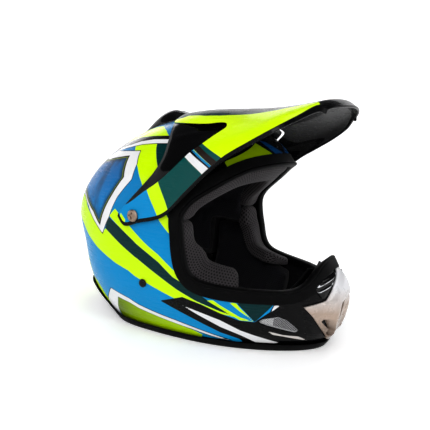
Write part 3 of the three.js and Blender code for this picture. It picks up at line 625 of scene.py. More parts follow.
def edge_of(look, name, shift=0.0):
    """1 inside a shape whose depth in millimetres is kept under a name, 0 outside it."""
    return look.ramp(look.math("ADD", look.value(name), shift), -EDGE_SOFT, EDGE_SOFT)


def line_of(look, name, half):
    """1 within a distance of the shape's edge."""
    return look.ramp(look.math("ABSOLUTE", look.value(name)), half + 0.15, half - 0.15)


# ---------------------------------------------------------------- livery of the shell
# Outlines in the shell's chart: how far round from the widest point (back is positive, and 204 reaches the
# middle of the front or back), and height. MID runs past the middle, so that both sides join.
MID = 240
TEAL_SHAPES = [
    [(32, 227), (16, 214), (3, 202), (-34, 148), (-60, 131), (-70, 160), (-40, 225), (8, 230)],
    [
        (38, 137), (22, 128), (3, 115), (-11, 104), (-20, 96), (-31, 82), (-45, 72), (-56, 62), (-66, 53),
        (-80, 43), (-66, 49), (-48, 58), (-34, 68), (-20, 80), (-2, 95), (19, 107), (42, 122),
    ],
    [(-79, 62), (-112, 63), (-95, 39)],
]
LIME_SHAPES = [
    [
        (80, 248), (47, 243), (25, 237), (56, 235), (84, 230), (115, 224), (160, 213), (MID, 204),
        (MID, 230), (160, 236), (120, 243), (100, 247),
    ],
    [
        (72, 223), (44, 208), (29, 198), (12, 183), (-22, 147), (-37, 131), (-60, 131), (-34, 148),
        (3, 202), (16, 214), (32, 227),
    ],
    [
        (31, 148), (13, 135), (-2, 122), (-12, 112), (-20, 105), (-31, 91), (-45, 80), (-45, 72), (-31, 82),
        (-20, 96), (-11, 104), (3, 115), (22, 128), (37, 138),
    ],
    [
        (MID, 150), (150, 152), (98, 152), (66, 130), (47, 114), (42, 122), (19, 107), (-2, 95), (-20, 80),
        (-34, 68), (-48, 58), (-66, 49), (-84, 42), (-66, 46), (-52, 54), (-38, 60), (-32, 56), (-21, 62),
        (-12, 67), (-4, 71), (9, 78), (28, 83), (47, 90), (61, 95), (80, 105), (95, 117), (120, 128),
        (MID, 134),
    ],
    [(-56, 61), (-61, 62), (-66, 57), (-82, 44), (-94, 39.5), (-82, 40), (-66, 53)],
    [(-73, 62), (-79, 61.5), (-82, 56), (-94.5, 40), (-82, 51.5)],
]
REAR_PANEL = [
    (MID, 108), (150, 104), (115, 92), (99, 70), (94, 48), (83, 46), (73, 38), (67, 26), (60, 0), (60, -20),
    (MID, -20),
]
GREY_STRIP = [(55, 245), (68, 249), (88, 254), (130, 257), (MID, 250), (MID, 246), (94, 249)]
BLACK_SHAPES = [
    [(20, 238), (57, 235.5), (87, 232), (124, 222), (MID, 213), (MID, 204), (112, 213), (70, 227), (18, 233)],
    [
        (-20, 49), (-38, 60), (-52, 54.5), (-66, 46.5), (-82, 39.5), (-95, 39), (-119, 62), (-125, 90),
        (-MID, 120), (-MID, -30), (-95, -30), (-95, -5), (-87, 10), (-84, 13), (-66, 20), (-47, 32),
    ],
    [(-50, 9), (-67, 9.5), (-80, 8.5), (-95, 10), (-95, -30), (-45, -30)],
    [
        (-50, 150), (-62, 165), (-40, 200), (-20, 225), (0, 245), (60, 268), (-MID, 268), (-MID, 120),
        (-60, 131),
    ],
]
WHITE_SHAPES = [
    [
        (135, 206), (112, 214), (88, 221), (70, 228), (47, 232), (18, 234), (6, 229), (35, 227), (58, 224),
        (79, 219),
    ],
    [
        (MID, 200), (150, 202), (128, 205), (103, 212), (48, 217), (34, 202), (26, 184), (33, 162),
        (37, 137), (47, 114), (66, 130), (80, 142), (98, 151), (150, 160), (MID, 162),
    ],
    [
        (44, 47), (14, 41), (-7, 33), (-18, 29.5), (-31, 26), (-45, 21), (-57, 16.5), (-66, 13.5), (-80, 9),
        (-67, 10), (-57, 12.5), (-44, 17), (-31, 20.5), (-18, 24), (-5, 28), (14, 34), (34, 37), (38, 30),
        (47, 18), (55, 5), (60, -20), (80, -20), (75, 5), (69, 24), (55, 36),
    ],
    [
        (-34, 51), (-50, 44.5), (-66, 37.5), (-83, 26.5), (-96, 21), (-112, 15.5), (-130, 10), (-99, 10),
        (-90, 15), (-83, 19), (-66, 27.5), (-48, 40),
    ],
    [(-112, 62), (-119, 62), (-111, 54), (-98, 41), (-97, 41), (-109, 53)],
]
SHIELD = [
    (MID, 190), (150, 195), (100, 202), (59, 210), (39, 185), (42, 163), (46, 145), (51, 123), (65, 137),
    (80, 145), (97, 153), (150, 165), (MID, 168),
]
OLIVE_SWEEP = [
    (34, 37), (14, 34), (-5, 28), (-18, 24), (-31, 20.5), (-44, 16.5), (-52, 12), (-49, 0), (-49, -20),
    (60, -20), (52, 5), (47, 18), (38, 30),
]
# Lime patch and blue stripe on the brow under the peak, painted in darker colours as painted shade.
BROW_LIME_PAINTED_SHADE = [(-78, 215), (-132, 238), (-158, 228), (-163, 224), (-85, 207)]
BROW_BLUE_PAINTED_SHADE = [(-145, 241), (-168, 228), (-178, 223), (-196, 225), (-197, 229), (-160, 240)]
# The crescent under each chin vent is a painted highlight along the edge of a moulded ridge.
CRESCENT_HIGHLIGHT = [(-107, 28), (-125, 23), (-143, 21), (-159, 14), (-149, 16), (-125, 21), (-114, 23)]
CROWN_BLACK = 255  # height above which the shell is black


def shell_chart(points):
    width, front, rear, centre = section(points[:, 2])
    b = (points[:, 1] - centre) / np.where(points[:, 1] < centre, front, rear)
    a = np.abs(points[:, 0]) / width
    return np.column_stack([np.arctan2(b, a) * 130, points[:, 2]])


def deepest(at, shapes):
    return np.max([inside_depth(at, shape) for shape in shapes], axis=0)


SHELL_SHAPES = {
    "teal": TEAL_SHAPES,
    "lime": LIME_SHAPES,
    "rear_panel": [REAR_PANEL],
    "grey_strip": [GREY_STRIP],
    "black": BLACK_SHAPES,
    "white": WHITE_SHAPES,
    "shield": [SHIELD],
    "olive": [OLIVE_SWEEP],
    "brow_lime_painted_shade": [BROW_LIME_PAINTED_SHADE],
    "brow_blue_painted_shade": [BROW_BLUE_PAINTED_SHADE],
    "crescent_highlight": [CRESCENT_HIGHLIGHT],
}


def keep_livery(obj):
    p = positions(obj)
    at = shell_chart(p)
    for name, shapes in SHELL_SHAPES.items():
        depth = deepest(at, shapes)
        keep_value(obj, name, np.maximum(depth, p[:, 2] - CROWN_BLACK) if name == "black" else depth)
    keep_value(obj, "round", at[:, 0])
    keep_value(obj, "height", at[:, 1])
    keep_value(obj, "skin", (level(p, 0) - 1) * 100)


def paint_over(look, base, areas):
    """Paints one area after another; areas are names of kept depths with their colours."""
    for name, colour in areas:
        base = look.mix(edge_of(look, name), base, colour)
    return base


def shell_paint():
    look = painted("shell_livery")
    high = look.value("height")
    base = look.mix(look.ramp(high, 90, 230), BLUE, DEEP_BLUE)
    base = paint_over(look, base, [("teal", TEAL), ("lime", LIME), ("rear_panel", LIME)])
    base = look.mix(line_of(look, "rear_panel", 0.5), base, GLOSS_BLACK)
    base = paint_over(look, base, [("grey_strip", BLUE_GREY), ("black", GLOSS_BLACK), ("white", WHITE)])
    base = look.mix(line_of(look, "white", 0.45), base, GLOSS_BLACK)

    # Shield: blue that darkens to black towards its edge, crossed by dark streaks, with a thin olive line.
    depth = look.value("shield")
    streak = look.ramp(look.noise(34, 4, 0.6, (1, 1, 0.35)), 0.52, 0.66, 0.0, 0.55)
    glow = look.math("MULTIPLY", look.ramp(depth, 1.5, 8), look.math("SUBTRACT", 1.0, streak))
    shield_blue = look.mix(look.ramp(high, 140, 200), rgb(0, 122, 186), rgb(0, 92, 150))
    shield = look.mix(glow, GLOSS_BLACK, shield_blue)
    pin = look.ramp(look.math("ABSOLUTE", look.math("SUBTRACT", depth, 2.2)), 0.6, 0.3)
    shield = look.mix(pin, shield, rgb(110, 130, 20))
    sweep = look.mix(look.ramp(look.value("round"), 44, -48), OLIVE, rgb(170, 208, 0))
    # The brow's lime and blue get darker copies of their colours: painted shade under the peak.
    areas = [("shield", shield), ("olive", sweep), ("brow_lime_painted_shade", LIME_PAINTED_SHADE), ("brow_blue_painted_shade", BLUE_PAINTED_SHADE)]
    # The light grey crescent under each chin vent is a painted highlight.
    base = paint_over(look, base, [*areas, ("crescent_highlight", PAINTED_HIGHLIGHT_GREY)])
    inside = look.ramp(look.value("skin"), -1.2, -0.8)
    base = look.mix(inside, rgb(26, 26, 28), base)
    return look.colour(base).material


# ---------------------------------------------------------------- shell
port_outline = [*catmull(PORT, 12), (-320, 112), (-320, 223)]


def port_cutter(by=0.0):
    return prism(grown(port_outline, by), -200, 200)


def below_rim(height):
    ys = np.linspace(106, 44, 25)
    rise = [(y, float(rim_z(y)) + height) for y in ys]
    return prism([(-260, -60), (200, -60), (200, 30 + height), *rise, (-260, height)], -200, 200)


def rounded(outline, radius):
    """The outline with its corners turned into arcs."""
    p = np.array(outline, float)
    out = []
    for a, b, c in zip(np.roll(p, 1, 0), p, np.roll(p, -1, 0)):
        u, v = (a - b) / np.linalg.norm(a - b), (c - b) / np.linalg.norm(c - b)
        half = math.acos(max(-1, min(1, float(u @ v)))) / 2
        reach = min(radius / math.tan(half), np.linalg.norm(a - b) * 0.48, np.linalg.norm(c - b) * 0.48)
        start, end = b + u * reach, b + v * reach
        for t in np.linspace(0, 1, 5):
            out.append((1 - t) ** 2 * start + 2 * t * (1 - t) * b + t * t * end)
    return np.array(out)


def smooth_normals(obj):
    """Normals of the formula's surface on the skin's faces, so that gloss shows no facets by the cuts."""
    mesh = obj.data
    p = positions(obj)
    skin = level(p, 0) > 0.994
    n = surface_normal(p, 0, 0.4)
    count = len(mesh.loops)
    corner_vertex = np.empty(count, int)
    mesh.loops.foreach_get("vertex_index", corner_vertex)
    face_normals = np.empty(len(mesh.polygons) * 3)
    mesh.polygons.foreach_get("normal", face_normals)
    totals = np.empty(len(mesh.polygons), int)
    mesh.polygons.foreach_get("loop_total", totals)
    flat = np.repeat(face_normals.reshape(-1, 3), totals, axis=0)
    at_corner = n[corner_vertex]
    ours = skin[corner_vertex] & (np.sum(flat * at_corner, 1) > 0.9)
    current = np.empty(count * 3)
    mesh.corner_normals.foreach_get("vector", current)
    normals = np.where(ours[:, None], at_corner, current.reshape(-1, 3))
    mesh.normals_split_custom_set(normals.tolist())


def rear_vent_outline(side):
    points = [(side * (25 + a * 1.6), 150 + b * 1.4) for a, b in REAR_VENT]
    return rounded(points if side > 0 else points[::-1], 2.5)


SKIN_GRID = (560, 96, 100)  # steps round, below the widest height and above it
HOLE_R = 3.2


def make_shell():
    shell = egg("shell_body", 0, -12, *SKIN_GRID)
    hollow = egg("cutter", SHELL, -16, 180, 40, 50)
    mouth = rounded([(-20, 36), (-8, 30), (8, 30), (20, 36), (20, 66), (8, 72), (-8, 72), (-20, 66)], 4)
    vent = rounded(CHIN_VENT, 3)
    cutters = [
        hollow,
        port_cutter(),
        below_rim(RIM_EDGE),
        prism(vent, -140, -20),
        prism(vent, 20, 140),
        prism(mouth, -240, -150, "y"),
        prism(circle(HOLE_R, *PIVOT), -140, 140),
        prism(circle(HOLE_R, *RIVET), -140, 140),
        prism(rear_vent_outline(-1), 60, 180, "y"),
        prism(rear_vent_outline(1), 60, 180, "y"),
    ]
    carve(shell, *cutters)
    keep_livery(shell)
    finish_piece(shell, shell_paint(), stands_for=["outer_shell"], angle=35)
    smooth_normals(shell)


# ---------------------------------------------------------------- peak
SIDE_STEPS = 20
STATION_STEPS = 13


def peak_grid():
    """The outer surface of the peak, as rows from back to front of points from right to left."""
    lines = [catmull([row[k] for row in PEAK_STATIONS], STATION_STEPS) for k in range(5)]
    rows = []
    for lower, crease, middle, ridge, centre in zip(*lines):
        across = catmull([crease, middle, ridge, centre, ridge * (-1, 1, 1)], SIDE_STEPS)
        lip = [lower + (crease - lower) * t for t in (0, 0.5)]
        half = np.vstack([lip, across[: 3 * SIDE_STEPS + 1]])
        wall = side_x(half[:, 1], half[:, 2])
        least = np.where(np.isnan(wall), -1e3, wall + PEAK_THICK + PEAK_CLEAR)
        half[:-1, 0] = np.maximum(half[:-1, 0], least[:-1])
        rows.append(np.vstack([half * (-1, 1, 1), half[-2::-1]]))
    return np.array(rows)


def inward_normals(grid):
    along = np.gradient(grid, axis=0)
    across = np.gradient(grid, axis=1)
    n = np.cross(across, along)
    return n / (np.linalg.norm(n, axis=-1)[..., None] + 1e-12)


peak_rows = peak_grid()
peak_inward = inward_normals(peak_rows)
window_line = catmull(SCOOP_WINDOW[1:-1], 10)
window_outline = [SCOOP_WINDOW[0], *window_line, SCOOP_WINDOW[-1]]

# Livery of the peak: outlines of (y, z) on its sides, and of (y, distance from the middle) on top.
ARM_SHAPES = [  # in the order they are painted
    ("arm_blue", BLUE, [(60, 130), (60, 160), (7, 181.6), (-6, 194), (-32.4, 154.6), (-18, 148.6), (0, 130)]),
    ("arm_teal", ARM_TEAL, [(-6, 194), (-32, 220), (-71, 200), (-52, 170), (-32.4, 154.6)]),
    ("arm_lime", LIME, [(7, 181.6), (-6, 194), (-32.4, 154.6), (-18, 148.6)]),
    ("arm_rear", LIME, [(34.8, 144.6), (32.9, 145.5), (21.2, 134.9), (33.2, 133.7)]),
    ("dark_patch", BROWN_BLACK, [(-43, 227.8), (-52, 232.5), (-64, 229), (-90, 219), (-81, 210)]),
    ("gap_band", GLOSS_BLACK, [(-36, 222.5), (-41, 227.5), (-81, 210), (-77, 205)]),
    ("white_band", WHITE, [(-32, 220), (-38, 224.5), (-78, 207), (-71, 200)]),
    ("blue_band", BLUE, [(-39, 226.8), (-43, 227.8), (-81, 210), (-79, 208)]),
    ("teal_band", ARM_TEAL, [(-47, 232.7), (-52, 234.5), (-91, 220), (-85, 216)]),
]
SPINE = [
    (30, -40), (30, 62), (13, 61), (-2, 64), (-8, 60), (-34, 68), (-53, 70), (-65, 69), (-99, 70),
    (-119, 68), (-140, 64), (-160, 66), (-171, 76), (-172, 150), (-230, 150), (-230, -40),
]


def keep_peak_livery(obj):
    p = positions(obj)
    side = p[:, 1:]
    on_top = np.column_stack([p[:, 1], np.abs(p[:, 0])])
    for name, _, outline in ARM_SHAPES:
        keep_value(obj, name, inside_depth(side, outline))
    keep_value(obj, "spine", np.minimum(inside_depth(on_top, SPINE), p[:, 2] - 240))
    keep_value(obj, "tip", -p[:, 1])
    crease = catmull([row[1][1:] for row in PEAK_STATIONS], 8)
    below = [*crease, (-330, 279), (-330, 0), (60, 0), (60, 144)]
    keep_value(obj, "lip", inside_depth(side, below))
    faces = grid_faces(*peak_rows.shape[:2]).tolist()
    tree = BVHTree.FromPolygons([Vector(v) for v in peak_rows.reshape(-1, 3)], faces)
    keep_value(obj, "under", [tree.find_nearest(Vector(v))[3] for v in p])


def peak_paint():
    look = painted("peak_livery")
    base = look.mix(look.ramp(look.noise(9, 1), 0.3, 0.7), LIME, rgb(216, 246, 0))
    base = paint_over(look, base, [shape[:2] for shape in ARM_SHAPES])
    dark = look.math("MAXIMUM", look.ramp(look.value("spine"), 2, 26), look.ramp(look.value("tip"), 146, 160))
    top = look.mix(dark, TEAL, GLOSS_BLACK)
    base = look.mix(edge_of(look, "spine"), base, top)
    base = look.mix(edge_of(look, "lip", 1.1), base, GLOSS_BLACK)
    base = look.mix(look.ramp(look.value("under"), 0.35, 0.6), base, rgb(7, 7, 8))
    return look.colour(base).material


def make_peak():
    inner = peak_rows + peak_inward * PEAK_THICK
    peak = thick_sheet("peak_body", peak_rows, inner, round_edge=0.8, edge_steps=5)
    cutters = []
    for side in (-1, 1):
        spans = [(HOLE_R, 110, 150), (SCREW_HEAD_R + 1, 130.2, 150), (10, 110, 128.2)]
        for radius, low, high in spans:
            cutters.append(prism(circle(radius, *PIVOT), *mirrored_span(side, low, high)))
        cutters.append(prism(window_outline, *mirrored_span(side, 50, 160)))
    carve(peak, *cutters)
    keep_peak_livery(peak)
    finish_piece(peak, peak_paint(), "peak", ["peak"], angle=30)


def coated(name, colour, roughness, coat=0.0, metallic=0.0, grain=(900, 0.00003)):
    """Plastic, rubber or metal: one colour that varies a little, an uneven gloss and a fine grain."""
    sockets = {"Metallic": metallic, "Coat Weight": coat, "Coat Roughness": 0.06, "Specular IOR Level": 0.06}
    look = Look(name, sockets if metallic < 0.5 else {**sockets, "Specular IOR Level": 0.5})
    dull = tuple(v * 0.75 for v in colour[:3]) + (1.0,)
    look.colour(look.mix(look.ramp(look.noise(18, 4, 0.6), 0.35, 0.7), colour, dull))
    look.roughness(look.ramp(look.noise(55, 4, 0.65), 0.3, 0.7, roughness - 0.06, roughness + 0.1))
    look.bump(look.noise(grain[0], 3), grain[1], 0.8)
    return look


rubber = coated("trim_rubber", rgb(9, 9, 10), 0.55, grain=(1500, 0.00005)).material
gloss_black = coated("gloss_black", rgb(4, 4, 5), 0.16, coat=0.35, grain=(300, 0.00001)).material
satin_black = coated("satin_black", rgb(7, 7, 8), 0.42, grain=(2200, 0.00006)).material
steel = coated("steel", rgb(176, 168, 160), 0.26, metallic=1.0, grain=(700, 0.00002)).material
nickel = coated("screw_nickel", rgb(150, 132, 118), 0.3, metallic=1.0, grain=(900, 0.00003)).material
bright_wire = coated("vent_wire", rgb(176, 176, 178), 0.45, metallic=0.4, grain=(2400, 0.00002)).material


def silver_paint():
    """Silver paint, nearly white at the top and warm grey towards the chin."""
    sockets = {"Metallic": 0.15, "Coat Weight": 0.35, "Coat Roughness": 0.05, "Specular IOR Level": 0.3}
    look = Look("muzzle_silver", sockets)
    high = look.math("MULTIPLY_ADD", look.noise(30, 2), 8, look.value("height"))
    warm = look.mix(look.ramp(high, 24, 50), rgb(112, 95, 82), rgb(168, 150, 136))
    look.colour(look.mix(look.ramp(high, 56, 82), warm, rgb(208, 208, 210)))
    look.roughness(look.ramp(look.noise(55, 4, 0.65), 0.3, 0.7, 0.24, 0.34))
    flake = look.add("TexVoronoi", {"Vector": look.coords, "Scale": 2600.0}).outputs["Color"]
    look.bump(flake, 0.000006, 0.4)
    return look.material


def bezel_paint():
    """Gloss black with a painted highlight, near white, in patches along the crests of the ribs."""
    if "bezel_painted_highlight" in bpy.data.materials:
        return bpy.data.materials["bezel_painted_highlight"]
    look = coated("bezel_painted_highlight", rgb(4, 4, 5), 0.16, coat=0.5, grain=(300, 0.00001))
    patchy_highlight = look.math("MULTIPLY", look.value("crest"), look.ramp(look.noise(110, 3), 0.3, 0.5, 0.4))
    # Painted highlight: the rib crests turn near white in patches.
    look.colour(look.mix(look.ramp(patchy_highlight, 0.35, 0.6), rgb(5, 5, 6), rgb(225, 226, 230)))
    return look.material


def moulded_foam():
    look = Look("moulded_foam", {"Roughness": 0.82})
    bead = look.add("TexVoronoi", {"Vector": look.coords, "Scale": 330.0})
    shade = look.ramp(bead.outputs["Distance"], 0.1, 0.7)
    tone = look.mix(look.noise(40, 2), rgb(12, 12, 13), rgb(20, 20, 22))
    look.colour(look.mix(shade, tone, rgb(12, 12, 13)))
    look.bump(shade, 0.0004, -0.7)
    return look.material


def hex_holes(look, u, v, pitch):
    """1 in the holes of a mesh fabric, which stand in a honeycomb; u and v are in millimetres."""
    reach = []
    for shift in (0.0, 0.5):
        a = look.math("SUBTRACT", look.math("FRACT", look.math("MULTIPLY_ADD", u, 1 / pitch, shift)), 0.5)
        rows = look.math("MULTIPLY_ADD", v, 1 / pitch / math.sqrt(3), shift)
        b = look.math("MULTIPLY", look.math("SUBTRACT", look.math("FRACT", rows), 0.5), math.sqrt(3))
        square = look.math("ADD", look.math("MULTIPLY", a, a), look.math("MULTIPLY", b, b))
        reach.append(look.math("SQRT", square))
    return look.ramp(look.math("MINIMUM", *reach), 0.34, 0.25)


def mesh_fabric(name, dark, light, pitch=4.2):
    """Open knitted mesh over dark foam; its holes are painted near black, the foam's own dark deepened by
    painted shade.
    """
    dull = {"Roughness": 0.85, "Sheen Weight": 0.06, "Sheen Roughness": 0.5, "Specular IOR Level": 0.2}
    look = Look(name, dull)
    holes = hex_holes(look, look.value("mesh_u"), look.value("mesh_v"), pitch)
    thread = look.mix(look.noise(160, 3), dark, light)
    # Holes painted near black: the dark foam beneath, with painted shade in the holes.
    look.colour(look.mix(holes, thread, rgb(3, 3, 4)))
    look.bump(holes, 0.0009, -0.9)
    look.bump(look.noise(1400, 2), 0.00012, 0.5)
    return look.material


def woven_strap():
    look = Look("strap_webbing", {"Roughness": 0.7, "Sheen Weight": 0.3, "Sheen Roughness": 0.4})
    along, across = look.value("along"), look.value("across")
    rib = look.math("SINE", look.math("MULTIPLY", across, 2 * math.pi / 1.5))
    slant = look.math("MULTIPLY_ADD", rib, 0.35, look.math("MULTIPLY", along, 1 / 1.1))
    thread = look.math("SINE", look.math("MULTIPLY", slant, 2 * math.pi))
    height = look.math("MULTIPLY", rib, thread)
    # The weave's colour follows its relief: painted shade in its hollows and painted light on its raised
    # threads.
    tone = look.mix(look.ramp(height, -1, 1), rgb(12, 12, 13), rgb(30, 30, 32))
    look.colour(look.mix(look.ramp(look.noise(25, 3), 0.35, 0.7, 0, 0.35), tone, rgb(34, 34, 36)))
    look.bump(look.ramp(height, -1, 1), 0.00025, 0.9)
    return look.material


# ---------------------------------------------------------------- rubber trims
def ring_frames(points, centre, normals):
    along = np.roll(points, -1, 0) - np.roll(points, 1, 0)
    along /= np.linalg.norm(along, axis=1)[:, None]
    v = normals - np.sum(normals * along, 1)[:, None] * along
    v /= np.linalg.norm(v, axis=1)[:, None]
    u = np.cross(along, v)
    u *= np.where(np.sum(u * (points - centre), 1) < 0, -1, 1)[:, None]
    return u, v


def ease(values, times):
    """Smooths a closed row of points by averaging neighbours."""
    for _ in range(times):
        values = (np.roll(values, 1, 0) + 2 * values + np.roll(values, -1, 0)) / 4
    return values


TRIM_LIP = 9.6  # how far the eye port trim reaches over the shell from the shell's cut edge
TRIM_SECTION = [
    (-6.2, -3.8), (-5.8, -4.9), (-4.8, -5.3), (2, -6.2), (3, -5.9), (3, -4.4), (-2, -4.3), (-2, 2.15),
    (9.3, 2.15), (TRIM_LIP, 2.5), (9.5, 3.0), (8.8, 3.3), (4, 3.9), (-0.6, 4.4), (-1.7, 4.4), (-2.3, 3.8),
    (-2.9, 3.7), (-3.5, 4.2), (-4.7, 4.6), (-5.7, 4.2), (-6.2, 3.2),
]
port_line = ease(port_loop(SHELL / 2, 460), 12)
port_u, port_v = ring_frames(port_line, np.array((0, *PORT_CENTRE)), ease(surface_normal(port_line), 12))


def make_eye_port_trim():
    o = np.array(TRIM_SECTION)
    under_peak = smooth((port_line[:, 2] - 146) / 16)
    flat = np.where((o[:, 0] > -2.5) & (o[:, 1] > 2.1), 1.0, 0.0)
    v = o[None, :, 1] - flat * under_peak[:, None] * (o[None, :, 1] - 2.1) * 0.6
    body = port_line[:, None] + port_u[:, None] * o[None, :, :1] + port_v[:, None] * v[..., None]
    trim = ring_object("eye_port_rubber", body)
    finish_piece(trim, rubber, stands_for=["eye_port_trim"], angle=50)


def make_rim_trim():
    angles = np.arange(420) * 2 * np.pi / 420
    p = surface_point(RIM_EDGE, angles, SHELL / 2)
    for _ in range(14):
        p = surface_point(rim_z(p[:, 1]) + RIM_EDGE, angles, SHELL / 2)
    along = np.roll(p, -1, 0) - np.roll(p, 1, 0)
    along[:, 2] = 0
    along /= np.linalg.norm(along, axis=1)[:, None]
    u = np.cross(along, (0, 0, 1))
    v = (surface_point(p[:, 2] + 5, angles, SHELL / 2) - p) / 5
    section_points = [
        (-5.8, -3.0), (-5.4, -4.1), (-4.4, -RIM_EDGE), (4.2, -RIM_EDGE), (5.1, -4.1), (5.6, -3.0),
        (6.0, 0.5), (6.1, 3.9), (5.8, 4.8), (5.1, 5.1), (4.3, 4.6), (4.1, 3.9), (4.1, -1.4), (-4, -1.4),
        (-4, 3.4), (-4.5, 4.0), (-5.3, 3.9), (-5.8, 3.2),
    ]
    trim = swept_ring("lower_rim_rubber", p, u, v, section_points)
    finish_piece(trim, rubber, stands_for=["lower_rim_trim"], angle=50)


# ---------------------------------------------------------------- chin fittings
COVER_THICK = 3
LOBE_X, LOBE_HIGH, LOBE_WIDE = 21, 9, 10  # the two lobes low on the cover
RIDGE_HIGH = 9  # the crease between its two upper faces
COVER_HALF = [  # (height, half width) of the silver cover
    (11, 2), (16, 14), (33, 31), (48, 43), (60, 54), (66, 31), (80, 20), (98, 5),
]
MIDDLE_SLOT = [(-6.5, 56), (-2, 42), (0, 31), (2, 42), (6.5, 56), (2, 66), (0, 73), (-2, 66)]
LOWER_SLOT = [(17, 21), (21, 22), (35, 41), (35, 46), (30, 45), (17, 28)]


def even_out(grid, times):
    """Smooths a grid of vectors and brings them back to length 1."""
    for _ in range(times):
        for axis in (0, 1):
            pad = [(1, 1) if n == axis else (0, 0) for n in range(3)]
            wide = np.pad(grid, pad, mode="edge")
            low, high = (np.take(wide, np.arange(n, n + grid.shape[axis]), axis) for n in (0, 2))
            grid = (low + 2 * grid + high) / 4
    return grid / np.linalg.norm(grid, axis=2)[..., None]


def make_muzzle():
    heights = np.linspace(11, 98, 88)
    half = np.interp(heights, *zip(*COVER_HALF))
    x = np.linspace(-1, 1, 91)[None] * half[:, None]
    z = np.repeat(heights[:, None], 91, 1)
    lobes = LOBE_HIGH * np.exp(-(((np.abs(x) - LOBE_X) / LOBE_WIDE) ** 2))
    lobes *= smooth((z - 8) / 18) * smooth((84 - z) / 30)
    crest = np.sqrt(np.maximum(1 - np.abs(x) / 26, 0) ** 2 + 0.004) - 0.06
    ridge = RIDGE_HIGH * crest * smooth((z - 56) / 18) * smooth((108 - z) / 34)
    rise = COVER_THICK + (lobes + ridge) * smooth((half[:, None] - np.abs(x)) / 12)
    low = rounded(LOWER_SLOT, 2.5)
    from_slot = -inside_depth(np.column_stack([np.abs(x).ravel(), z.ravel()]), low)
    rise = rise + 1.5 * np.exp(-(((from_slot.reshape(x.shape) - 1.6) / 1.3) ** 2))
    base = front_point(x, z)
    out = even_out(surface_normal(base, 0, 3.0), 40)
    cover = thick_sheet("muzzle_shield", base + out * rise[..., None], base + out, round_edge=0.5)
    slot = catmull(MIDDLE_SLOT, 5, closed=True)
    cutters = [
        prism(slot, -250, -150, "y"),
        prism(low, -250, -150, "y"),
        prism(low[::-1] * (-1, 1), -250, -150, "y"),
    ]
    carve(cover, *cutters)
    keep_value(cover, "height", positions(cover)[:, 2])
    finish_piece(cover, silver_paint(), stands_for=["muzzle_cover"], angle=50)


def make_mouth_grille():
    z, x = np.meshgrid(np.linspace(27, 75, 49), np.linspace(-26, 26, 53), indexing="ij")
    grille = thick_sheet("mouth_grille", front_point(x, z, SHELL + 1.8), front_point(x, z, SHELL + 3.8))
    slots = []
    for middle in range(-15, 16, 6):
        outline = [(middle - 1.9, 34), (middle + 1.9, 34), (middle + 1.9, 68), (middle - 1.9, 68)]
        slots.append(prism(rounded(outline, 1.8), -230, -150, "y"))
    carve(grille, *slots)
    finish_piece(grille, satin_black, stands_for=["mouth_vent_grille"])


def make_nose_vent(side):
    """Gloss insert beside the nose, with two raised ribs that catch the light; their crests also carry a
    painted highlight.
    """
    outline = [(8, 97), (34, 91), (44, 80), (37, 69), (33, 69), (22, 82)]
    z, x = np.meshgrid(np.linspace(66, 100, 70), np.linspace(4, 48, 90), indexing="ij")
    depth = inside_depth(np.column_stack([x.ravel(), z.ravel()]), outline).reshape(x.shape)
    slope = (x - 8) * 0.36 + (z - 97)
    rib = np.exp(-(((slope + 2.2) / 1.1) ** 2)) + 0.8 * np.exp(-(((slope + 8.5) / 1.2) ** 2))
    rise = 1.6 + 1.1 * smooth(depth / 2.5) + 1.3 * rib * smooth(depth / 2)
    base = front_point(x, z)
    out = surface_normal(base, 0, 1.0)
    mirror = np.array((side, 1, 1))
    top, floor = (base + out * rise[..., None]) * mirror, (base + out) * mirror
    vent = thick_sheet("nose_bezel_" + side_label(side), top, floor)
    shape = np.array(rounded(outline, 1.2)) * (side, 1)
    carve(vent, prism(shape, -240, -120, "y"), operation="INTERSECT")
    p = positions(vent)
    slope = (np.abs(p[:, 0]) - 8) * 0.36 + (p[:, 2] - 97)
    # Where the rib crests are, for the painted highlight.
    keep_value(vent, "crest", sum(np.exp(-(((slope + at) / 0.8) ** 2)) for at in (1.9, 8.2)))
    finish_piece(vent, bezel_paint(), stands_for=["nose_vent_" + side_label(side)], angle=40)


def make_nose_guard():
    z = np.linspace(70, 97, 40)
    half = 46 - (z - 70) * 0.8
    x = np.linspace(-1, 1, 81)[None] * half[:, None]
    base = front_point(x, 84.0, 21)
    base[..., 1] += (z[:, None] - 70) * 0.1
    base[..., 2] = z[:, None]
    deep = base + (0, 2.4, 0)
    guard = thick_sheet("nose_deflector", base, deep, round_edge=1.0)
    finish_piece(guard, satin_black, stands_for=["nose_guard"])


WIRE_PITCH = 1.7


